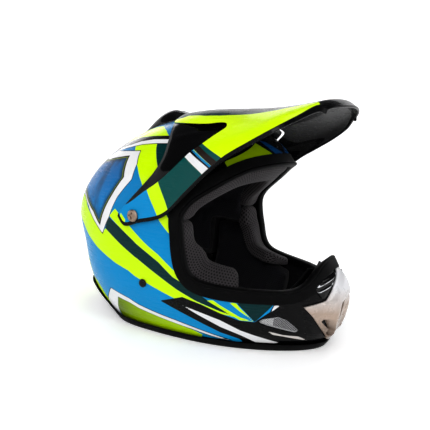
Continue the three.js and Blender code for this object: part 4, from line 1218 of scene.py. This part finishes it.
def make_vent_mesh(name, outline, place_at, node):
    """Woven wire in a bound edge, over a leaf-shaped opening; place_at puts flat points on the surface."""
    o = np.array(outline)
    middle = o.mean(0)
    reach = np.abs(o - middle).max() * 1.5
    lines = [place_at(even_steps(grown(o, -0.7), 90, closed=True), 0.0)]
    lines[0] = np.vstack([lines[0], lines[0][:1]])
    for turn in (0.9, -0.67):
        along = np.array((math.cos(turn), math.sin(turn)))
        across = np.array((-along[1], along[0]))
        for number, offset in enumerate(np.arange(-reach, reach, WIRE_PITCH)):
            points = middle + across * offset + np.linspace(-reach, reach, 240)[:, None] * along
            points = points[inside_depth(points, o) > 0.5]
            if len(points) < 6:
                continue
            points = points[::2]
            run = points @ along / WIRE_PITCH * np.pi
            weave = 0.22 * np.sin(run + np.pi * number) * (1 if turn > 0 else -1)
            lines.append(place_at(points, weave))
    mesh = wires(name, lines[1:], 0.27, 6)
    rim = wires("cutter", [lines[0]], 0.8, 8)
    start = len(mesh.data.vertices)
    joined_points = np.vstack([positions(mesh), positions(rim)])
    faces = [tuple(f.vertices) for f in mesh.data.polygons]
    faces += [tuple(i + start for i in f.vertices) for f in rim.data.polygons]
    for old in (mesh, rim):
        bpy.data.objects.remove(old)
    piece = new_object(name, joined_points, faces)
    finish_piece(piece, bright_wire, stands_for=[node], angle=60)


def place_chin_mesh(side):
    def place_at(points, lift):
        x = side_x(points[:, 0], points[:, 1], 2.2)
        return np.column_stack([side * (x + lift), points])
    return place_at


def place_rear_mesh(points, lift):
    p = rear_point(points[:, 0], points[:, 1], 2.2)
    p[:, 1] += lift
    return p


def make_crown_scoop():
    """Exhaust scoop behind the peak, with three grooves along its top."""
    y = np.linspace(24, 86, 63)
    c = np.linspace(-1, 1, 61)
    half = 32 - ((y - 40) / 46) ** 2 * 12
    rising = 5.5 + 11.5 * np.sin(np.pi / 2 * (y - 24) / 26)
    falling = 2 + 15 * np.cos(np.pi / 2 * np.clip((y - 50) / 36, 0, 1))
    crest = np.where(y < 50, rising, falling)
    ground = top_point(c[None] * half[:, None], np.repeat(y[:, None], 61, 1), 0.8)
    rise = 1.2 + (crest[:, None] - 2) * (1 - c[None] ** 4)
    groove = np.exp(-(((np.abs(c[None]) - 0.42) / 0.05) ** 2)) + np.exp(-((c[None] / 0.05) ** 2))
    rise = rise - 0.9 * groove * smooth((y[:, None] - 30) / 8) * smooth((82 - y[:, None]) / 8)
    top = ground + np.array((0, 0, 1)) * rise[..., None]
    scoop = thick_sheet("crown_scoop", top, ground, round_edge=0.6)
    finish_piece(scoop, gloss_black, stands_for=["crown_vent_scoop"], angle=40)


def make_peak_scoop(side):
    depth = 1 + 7 * smooth(-peak_rows[..., 1] / 60)
    ribs = np.exp(-(((peak_rows[..., 2] - peak_rows[..., 1] * -0.42 - 232) / 2.2) ** 2)) * 1.2
    outer = peak_rows + peak_inward * (depth - ribs * smooth(-peak_rows[..., 1] / 20))[..., None]
    inner = peak_rows + peak_inward * (depth + 2)[..., None]
    label = side_label(side)
    scoop = thick_sheet("window_scoop_" + label, outer, inner)
    window = prism(grown(window_outline, -0.3), *mirrored_span(side, 50, 160))
    carve(scoop, window, operation="INTERSECT")
    finish_piece(scoop, gloss_black, "peak", ["peak_scoop_" + label], angle=30)


# ---------------------------------------------------------------- fasteners
def set_along_x(obj, side, x, at):
    """Puts a part made along +x at the datum on its own side of the helmet."""
    obj.data.transform(Matrix.Translation((0, -SHIFT_Y / 1000, 0)))
    if side < 0:
        obj.data.transform(Matrix.Rotation(math.pi, 4, "Z"))
    obj.data.transform(Matrix.Translation(((side * x) / 1000, (at[0] + SHIFT_Y) / 1000, at[1] / 1000)))
    return obj


def make_screw(side):
    label = side_label(side)
    head = [(0, -20), (2.2, -20), (2.8, -19.2)]
    for step in range(24):
        x = -18.8 + step * 0.75
        head += [(2.8, x), (2.45, x + 0.37)]
    dome = [(SCREW_HEAD_R * math.cos(t), 0.9 + 2.5 * math.sin(t)) for t in np.linspace(0.05, 1.5, 14)]
    head += [(2.8, -0.4), (2.8, 0), (6.4, 0), (7.0, 0.4), *dome, (0, 3.4)]
    screw = turned("cross_screw_" + label, head)
    arms = []
    for outline in ([(-4.2, -0.75), (4.2, -0.75), (4.2, 0.75), (-4.2, 0.75)],
                    [(-0.75, -4.2), (0.75, -4.2), (0.75, 4.2), (-0.75, 4.2)]):
        arms.append(prism(rounded(outline, 0.5), 1.5, 6))
    arms.append(turned("cutter", [(0, 0.9), (1.5, 1.7), (1.9, 6), (0, 6)], 16))
    carve(screw, *arms)
    set_along_x(screw, side, 130.5, PIVOT)
    finish_piece(screw, nickel, stands_for=["peak_screw_" + label], angle=35)


def make_rivet(side):
    label = side_label(side)
    profile = [
        (0, -11.4), (4.3, -11.4), (4.6, -11.1), (4.6, -10.4), (4.4, -10.3), (2.8, -10.3), (2.8, 0.3),
        (4.7, 0.3), (5.0, 0.6), (4.95, 1.0), (4.5, 1.7), (3.7, 2.3), (2.6, 2.7), (1.3, 2.86), (0, 2.9),
    ]
    rivet = turned("strap_rivet_cap_" + label, profile)
    set_along_x(rivet, side, 123.4, RIVET)
    finish_piece(rivet, gloss_black, stands_for=["strap_rivet_" + label], angle=45)


# ---------------------------------------------------------------- chin straps
STRAP_END_Z = 8.4
LOOP_X, LOOP_Z, LOOP_HALF, LOOP_WALL = 46, 9.8, 4, 1.8


def strap_line(inner_end):
    walls = [(-(float(look_up(WIDTH_BY_HEIGHT, z)) - 1.2) + 8.2, z) for z in (60, 48, 36)]
    level_part = [((inner_end - 74) / 2, STRAP_END_Z), (inner_end, STRAP_END_Z)]
    line = [*walls, (-97, 24), (-86, 13), (-74, 9.2), *level_part]
    return even_steps(catmull(line, 30), 200)


def ribbon(name, line, side, wide, thick):
    """Flat webbing along a line of (x, z), with rounded selvedges and slightly uneven edges."""
    along = np.gradient(line, axis=0)
    along /= np.linalg.norm(along, axis=1)[:, None]
    out = np.column_stack([-along[:, 1], along[:, 0]])
    t = np.linspace(-1, 1, 25)
    body = np.sqrt(np.maximum(0, 1 - np.abs(t) ** 14)) * thick / 2
    top = np.column_stack([t * wide / 2, body])
    loop = np.vstack([top, (top * (1, -1))[-2:0:-1]])
    run = np.concatenate([[0], np.cumsum(np.linalg.norm(np.diff(line, axis=0), axis=1))])
    edge = 1 + 0.006 * np.sin(run / 3.1) * np.sin(run / 0.9)
    x = line[:, None, 0] + out[:, None, 0] * loop[None, :, 1]
    z = line[:, None, 1] + out[:, None, 1] * loop[None, :, 1]
    y = loop[None, :, 0] * edge[:, None]
    points = np.stack([x * side, y, z], -1)
    strap = rod_object(name, points)
    return strap, np.repeat(run, len(loop)), np.tile(loop[:, 0], len(line))


def make_strap(side, inner_end, node):
    label = side_label(side)
    line = strap_line(inner_end)
    strap, run, across = ribbon("strap_webbing_" + label, line, -side, STRAP_WIDE, STRAP_THICK)
    keep_value(strap, "along", run)
    keep_value(strap, "across", across)
    finish_piece(strap, webbing, stands_for=[node], angle=40)


def make_ring_loop():
    """Sewn loop of webbing that holds the two rings."""
    a = np.linspace(0, 2 * np.pi, 80, endpoint=False)
    middle = LOOP_HALF + LOOP_WALL / 2
    squarish = (np.abs(np.cos(a)) ** 5 + np.abs(np.sin(a)) ** 5) ** -0.2
    line = np.column_stack([LOOP_X + middle * squarish * np.cos(a), LOOP_Z + middle * squarish * np.sin(a)])
    out = np.column_stack([np.cos(a), np.sin(a)])
    half = STRAP_WIDE / 2
    corners = [
        (-half, -0.5), (-half + 0.4, -0.8), (half - 0.4, -0.8), (half, -0.5), (half, 0.5), (half - 0.4, 0.8),
        (-half + 0.4, 0.8), (-half, 0.5),
    ]
    points = []
    for p, n in zip(line, out):
        points.append([(p[0] + n[0] * d, y, p[1] + n[1] * d) for y, d in corners])
    points = np.array(points)
    loop = ring_object("ring_loop", points)
    keep_value(loop, "along", np.repeat(a * middle, len(corners)))
    keep_value(loop, "across", points[..., 1].ravel())
    finish_piece(loop, webbing, stands_for=["chin_strap_left"], angle=40)


def stitch_rows(name, rows):
    """Stitches, as short round threads, along rows of points with a direction out of the cloth."""
    lines = []
    for points, lift in rows:
        for k in range(0, len(points) - 3, 5):
            part = points[k : k + 4]
            bow = np.sin(np.linspace(0, np.pi, 4))[:, None] * np.array(lift)
            lines.append(part + bow)
    return wires(name, lines, 0.35, 5)


def make_strap_stitching():
    rows = []
    for x in (52.5, 56.5):
        y = np.linspace(-9.5, 9.5, 60)
        line = np.column_stack([np.full(60, x), y, np.full(60, STRAP_END_Z + STRAP_THICK / 2 + 0.05)])
        rows.append((line, (0, 0, 0.25)))
    for y in (-9.5, 9.5):
        x = np.linspace(52.5, 60, 25)
        line = np.column_stack([x, np.full(25, y), np.full(25, STRAP_END_Z + STRAP_THICK / 2 + 0.05)])
        rows.append((line, (0, 0, 0.25)))
    piece = stitch_rows("strap_stitches", rows)
    finish_piece(piece, thread_grey)


def make_d_ring(name, lift, node):
    half, long, wire = 14.4, 21, 1.6
    a = np.linspace(-np.pi / 2, np.pi / 2, 60)
    bend = np.column_stack([-(long - half) - half * np.cos(a), half * np.sin(a)])
    bar = np.column_stack([np.zeros(20), np.linspace(half, -half, 20)])
    loop = even_steps(np.vstack([bend, bar]), 160, closed=True)
    loop = ease(loop, 6)
    points = np.column_stack([loop, np.zeros(len(loop))])
    along = np.roll(points, -1, 0) - np.roll(points, 1, 0)
    along /= np.linalg.norm(along, axis=1)[:, None]
    v = np.tile((0.0, 0.0, 1.0), (len(points), 1))
    a = np.arange(14) * 2 * np.pi / 14
    round_section = np.column_stack([wire * np.cos(a), wire * np.sin(a)])
    ring = swept_ring(name, points, np.cross(along, v), v, round_section)
    place(ring, Matrix.Translation((LOOP_X / 1000, 0, (LOOP_Z + lift) / 1000)))
    finish_piece(ring, steel, "strap_rings", [node], angle=60)


def make_snap(name, x, material, node, stud):
    profile = [(0, 0), (5.7, 0), (6, 0.3), (6, 1.2), (5.6, 1.7), (4.4, 1.9), (4.0, 1.6)]
    profile += [(2.4, 1.6), (2.2, 2.4), (1.4, 2.6), (0, 2.6)] if stud else [(2.6, 1.6), (2.4, 0.9), (0, 0.9)]
    snap = turned(name, profile, 40)
    place(snap, Matrix.Translation((0, -SHIFT_Y / 1000, 0)))
    place(snap, Matrix.Rotation(-math.pi / 2, 4, "Y"))
    z = STRAP_END_Z + STRAP_THICK / 2 + 0.4
    place(snap, Matrix.Translation((x / 1000, SHIFT_Y / 1000, z / 1000)))
    finish_piece(snap, material, stands_for=[node], angle=40)


# ---------------------------------------------------------------- foam and padding
def make_foam():
    port = port_cutter(8)
    liner = egg("impact_foam", FOAM_INSET, 62, 150, 20, 34)
    box = prism([(-260, 0), (19, 0), (19, 118), (-260, 118)], -200, 200)
    recesses = [prism(circle(9, *PIVOT), *ends) for ends in ((100, 130), (-130, -100))]
    carve(liner, egg("cutter", LINER_INSET - 0.4, 60, 120, 18, 30), port, box, *recesses)
    finish_piece(liner, moulded_foam(), stands_for=["impact_liner"], angle=35)


def make_chin_foam():
    angles = np.linspace(-np.pi / 2 - 0.6, -np.pi / 2 + 0.6, 90)
    heights = np.linspace(15, 64, 50)
    layers = [surface_point(heights[:, None], angles[None], inset) for inset in (9.5, 25)]
    bar = thick_sheet("chin_foam", *layers, round_edge=1.2)
    hole = rounded([(-20, 32), (20, 32), (20, 58), (-20, 58)], 5)
    carve(bar, prism(hole, -230, -120, "y"))
    finish_piece(bar, bpy.data.materials["moulded_foam"], stands_for=["chin_bar_foam"], angle=35)


def copy_of(node, name):
    obj = bpy.data.objects.new(name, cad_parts[node].data.copy())
    bpy.context.scene.collection.objects.link(obj)
    return obj


def shrink(obj, by):
    work = bmesh.new()
    work.from_mesh(obj.data)
    bmesh.ops.remove_doubles(work, verts=work.verts, dist=1e-5)
    work.normal_update()
    for vertex in work.verts:
        vertex.co -= vertex.normal * by
    work.to_mesh(obj.data)
    work.free()


VOXEL = 0.004
PRESSURE = 4.0


def inflate(obj, start_in, cap):
    """Turns a copied CAD solid into a padded form: remeshed, blown up as cloth, and smoothed once."""
    shrink(obj, start_in)
    remesh = obj.modifiers.new("voxels", "REMESH")
    remesh.mode = "VOXEL"
    remesh.voxel_size = VOXEL
    settle(obj)
    work = bmesh.new()
    work.from_mesh(obj.data)
    for _ in range(4):
        bmesh.ops.smooth_vert(
            work, verts=work.verts, factor=0.5, use_axis_x=True, use_axis_y=True, use_axis_z=True
        )
    work.to_mesh(obj.data)
    work.free()
    count = len(obj.data.vertices)
    before = np.empty(count * 3)
    obj.data.vertices.foreach_get("co", before)
    cloth = obj.modifiers.new("blow", "CLOTH")
    cloth.settings.use_pressure = True
    cloth.settings.uniform_pressure_force = PRESSURE
    cloth.settings.effector_weights.gravity = 0
    cloth.settings.mass = 0.3
    cloth.collision_settings.use_collision = False
    cloth.point_cache.frame_start = 1
    cloth.point_cache.frame_end = 20
    for step in range(1, 21):
        bpy.context.scene.frame_set(step)
    blown = obj.evaluated_get(bpy.context.evaluated_depsgraph_get()).data
    after = np.empty(count * 3)
    blown.vertices.foreach_get("co", after)
    obj.modifiers.clear()
    bpy.context.scene.frame_set(1)
    move = (after - before).reshape(-1, 3)
    far = np.linalg.norm(move, axis=1)
    move *= (np.minimum(far, cap) / np.maximum(far, 1e-9))[:, None]
    obj.data.vertices.foreach_set("co", before + move.ravel())
    divide = obj.modifiers.new("finer", "SUBSURF")
    divide.levels = 1
    settle(obj)
    return obj


def make_cheek_pad(side):
    label = side_label(side)
    pad = inflate(copy_of("cheek_pad_" + label, "cheek_cushion_" + label), 0.0022, 0.003)
    p = positions(pad)
    keep_value(pad, "mesh_u", p[:, 1])
    keep_value(pad, "mesh_v", p[:, 2])
    finish_piece(pad, lining_fabric, stands_for=["cheek_pad_" + label], angle=None)


def make_soft_lining():
    lining = inflate(copy_of("comfort_liner", "crown_lining"), 0.0012, 0.002)
    at = shell_chart(positions(lining))
    keep_value(lining, "mesh_u", at[:, 0] * 0.7)
    keep_value(lining, "mesh_v", at[:, 1])
    finish_piece(lining, lining_fabric, stands_for=["comfort_liner"], angle=None)
    roll = inflate(copy_of("neck_roll", "neck_cushion"), 0.002, 0.003)
    at = shell_chart(positions(roll))
    keep_value(roll, "mesh_u", at[:, 0])
    keep_value(roll, "mesh_v", at[:, 1])
    finish_piece(roll, lining_fabric, stands_for=["neck_roll"], angle=None)


CHEEK_LEAN = 6  # how far the cheek fronts lean into the opening, and how much deeper they stand
CHEEK_DEEPER = 8
SEAM_Z = 144  # where the brow pad ends and the cheek pads begin
PAD_SECTION = [  # from the port's edge outwards, and from the surface inwards
    (5, -7.4), (1, -7.2), (-2.5, -8), (-4.6, -10), (-5.8, -14), (-7, -19), (-8.2, -25), (-9.2, -31),
    (-9.4, -36), (-8, -39.8), (-4, -41.6), (1, -41.6), (6, -40.4), (7.4, -34), (7.2, -22), (6.8, -12),
    (6.2, -8.6),
]


def make_port_cushion(name, order, node):
    """Mesh-covered pad that follows a stretch of the eye port, over the cut edge of the foam."""
    section_points = np.array(PAD_SECTION)
    p, u, v = port_line[order], port_u[order], port_v[order]
    ends = np.minimum(np.arange(len(order)), np.arange(len(order))[::-1])
    taper = np.sqrt(1 - (1 - np.clip((ends + 1) / 7, 0, 1)) ** 2)[:, None]
    middle = section_points.mean(0)
    a = middle[0] + (section_points[None, :, 0] - middle[0]) * taper
    b = middle[1] + (section_points[None, :, 1] - middle[1]) * taper
    low = smooth((128 - p[:, 2]) / 34)[:, None]
    lean = smooth((-b - 10) / 30) * low
    a = a - CHEEK_LEAN * lean
    b = b - (CHEEK_DEEPER + 4 * smooth((-p[:, 1] - 50) / 25)[:, None]) * lean
    body = p[:, None] + u[:, None] * a[..., None] + v[:, None] * b[..., None]
    band = rod_object(name, body)
    run = np.concatenate([[0], np.cumsum(np.linalg.norm(np.diff(p, axis=0), axis=1))])
    around = np.linalg.norm(np.diff(section_points, axis=0), axis=1)
    around = np.concatenate([[0], np.cumsum(around)])
    keep_value(band, "mesh_u", np.repeat(run, body.shape[1]))
    keep_value(band, "mesh_v", np.tile(around, body.shape[0]))
    finish_piece(band, pad_fabric, stands_for=[node], angle=60)


def run_of(keep):
    """The numbers of the one run of a closed loop for which keep holds, in the loop's order."""
    index = np.flatnonzero(keep)
    jump = np.argmax(np.diff(index, append=index[0] + len(keep)))
    return np.roll(index, -jump - 1)


def make_port_cushions():
    high = port_line[:, 2] > SEAM_Z
    make_port_cushion("brow_cushion", run_of(high), "comfort_liner")
    for side, label in ((-1, "right"), (1, "left")):
        low = (port_line[:, 2] < SEAM_Z - 0.6) & (port_line[:, 0] * side > 0) & (port_line[:, 1] > -112)
        make_port_cushion("cheek_front_" + label, run_of(low), "cheek_pad_" + label)


webbing = woven_strap()
thread_grey = coated("stitch_thread", rgb(70, 70, 74), 0.7, grain=(3000, 0.00005)).material
pad_fabric = mesh_fabric("pad_mesh_fabric", rgb(52, 49, 51), rgb(72, 68, 70))
lining_fabric = mesh_fabric("lining_fabric", rgb(14, 14, 18), rgb(22, 22, 30), pitch=3)

make_shell()
make_peak()
make_eye_port_trim()
make_rim_trim()
make_muzzle()
make_mouth_grille()
make_nose_guard()
make_crown_scoop()
make_foam()
make_chin_foam()
make_soft_lining()
make_port_cushions()
for side_sign, side_name in ((-1, "right"), (1, "left")):
    make_nose_vent(side_sign)
    make_vent_mesh("chin_wire_" + side_name, rounded(CHIN_VENT, 3), place_chin_mesh(side_sign),
                   "chin_vent_mesh_" + side_name)
    make_vent_mesh("rear_wire_" + side_name, rear_vent_outline(side_sign), place_rear_mesh,
                   "rear_vent_mesh_" + side_name)
    make_peak_scoop(side_sign)
    make_screw(side_sign)
    make_rivet(side_sign)
    make_cheek_pad(side_sign)
make_strap(-1, 12, "chin_strap_right")
make_strap(1, -LOOP_X - LOOP_HALF - 1, "chin_strap_left")
make_ring_loop()
make_strap_stitching()
make_d_ring("ring_lower", -1.9, "d_ring_lower")
make_d_ring("ring_upper", 1.9, "d_ring_upper")
make_snap("snap_cap", -2, satin_black, "snap_socket", False)
make_snap("snap_post", 64, steel, "snap_stud", True)
carried_over = {
    "peak_washer": rubber,
    "peak_insert": steel,
    "strap_anchor": steel,
}
for stem, material in carried_over.items():
    for side_name in ("left", "right"):
        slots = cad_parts[stem + "_" + side_name].material_slots
        for number in range(len(slots)):
            slots[number].material = material


# ---------------------------------------------------------------- floor, light and camera
def soft_light(name, at, aim, size, power):
    data = bpy.data.lights.new(name, "AREA")
    data.shape = "RECTANGLE"
    data.size, data.size_y = size
    data.energy = power
    lamp = bpy.data.objects.new(name, data)
    bpy.context.scene.collection.objects.link(lamp)
    lamp.location = at
    lamp.rotation_euler = (Vector(aim) - Vector(at)).to_track_quat("-Z", "Y").to_euler()


def make_floor():
    """A pale round floor whose edge curves up into a wall, so every view has the same backdrop."""
    flat, bend, top, sides = 2.1, 0.6, 1.8, 72
    profile = [(0.0, 0.0), (1.0, 0.0), (flat, 0.0)]
    for t in np.linspace(0.1, 1, 12) * math.pi / 2:
        profile.append((flat + bend * math.sin(t), bend * (1 - math.cos(t))))
    profile.append((flat + bend, top))
    turn = np.linspace(0, 2 * math.pi, sides, endpoint=False)
    reach, high = (np.array(v)[:, None] * 1000 for v in zip(*profile))
    rows = np.stack([reach * np.cos(turn), reach * np.sin(turn) - SHIFT_Y, high + 0 * turn], -1)
    floor = new_object("floor", rows, grid_faces(len(profile), sides, wrap=True))
    floor.data.shade_smooth()
    look = Look("floor_paper", {"Roughness": 0.7, "Specular IOR Level": 0.2})
    look.colour(look.mix(look.noise(3, 2), rgb(243, 243, 244), rgb(248, 248, 248)))
    look.bump(look.noise(700, 2), 0.00005, 0.2)
    look.shader.inputs["Emission Color"].default_value = (1, 1, 1, 1)
    keep_value(floor, "height", rows.reshape(-1, 3)[:, 2])
    look.feed(look.shader.inputs["Emission Strength"], look.ramp(look.value("height"), 0, 500, 0.3, 0.62))
    floor.data.materials.append(look.material)


make_floor()
world = bpy.data.worlds.new("studio")
world.use_nodes = True
world.node_tree.nodes["Background"].inputs["Color"].default_value = (0.93, 0.95, 1.0, 1)
world.node_tree.nodes["Background"].inputs["Strength"].default_value = 0.16
bpy.context.scene.world = world
bpy.context.scene.view_settings.view_transform = "Standard"
bpy.context.scene.view_settings.gamma = 0.84
bpy.context.scene.view_settings.exposure = -0.1
soft_light("key", (-1.5, -0.5, 1.3), (0, 0, 0.15), (0.5, 1.0), 9.5)
soft_light("overhead", (0.1, -0.2, 1.7), (0, 0, 0.1), (1.3, 1.3), 10)
soft_light("front", (-0.5, -1.6, 0.9), (0, 0, 0.15), (0.4, 0.8), 3)
soft_light("strip", (-0.85, 0.25, 1.25), (0, -0.1, 0.2), (0.05, 0.6), 2)
soft_light("rear", (0.9, 1.3, 0.9), (0, 0, 0.15), (0.5, 0.9), 4)

# Camera at the photograph's angle: azimuth, elevation and roll, from 0.69 m.
AZIMUTH, ELEVATION, ROLL = (math.radians(v) for v in (-63.6, 9.3, 5))
back = Vector((math.sin(AZIMUTH) * math.cos(ELEVATION), -math.cos(AZIMUTH) * math.cos(ELEVATION),
               math.sin(ELEVATION)))
level_right = Vector((math.cos(AZIMUTH), math.sin(AZIMUTH), 0))
level_up = back.cross(level_right)
right = level_right * math.cos(ROLL) + level_up * math.sin(ROLL)
up = back.cross(right)
CAMERA_FAR = 0.6911  # from the point that it looks at
lens = bpy.data.cameras.new("camera")
lens.sensor_width = 36
lens.lens = 43.59
camera = bpy.data.objects.new("camera", lens)
bpy.context.scene.collection.objects.link(camera)
aim = Vector((-0.0002, (-24.3 + SHIFT_Y) / 1000, 0.1378))
turn = Matrix((right, up, back)).transposed().to_4x4()
camera.matrix_world = Matrix.Translation(aim + back * CAMERA_FAR) @ turn
bpy.context.scene.camera = camera
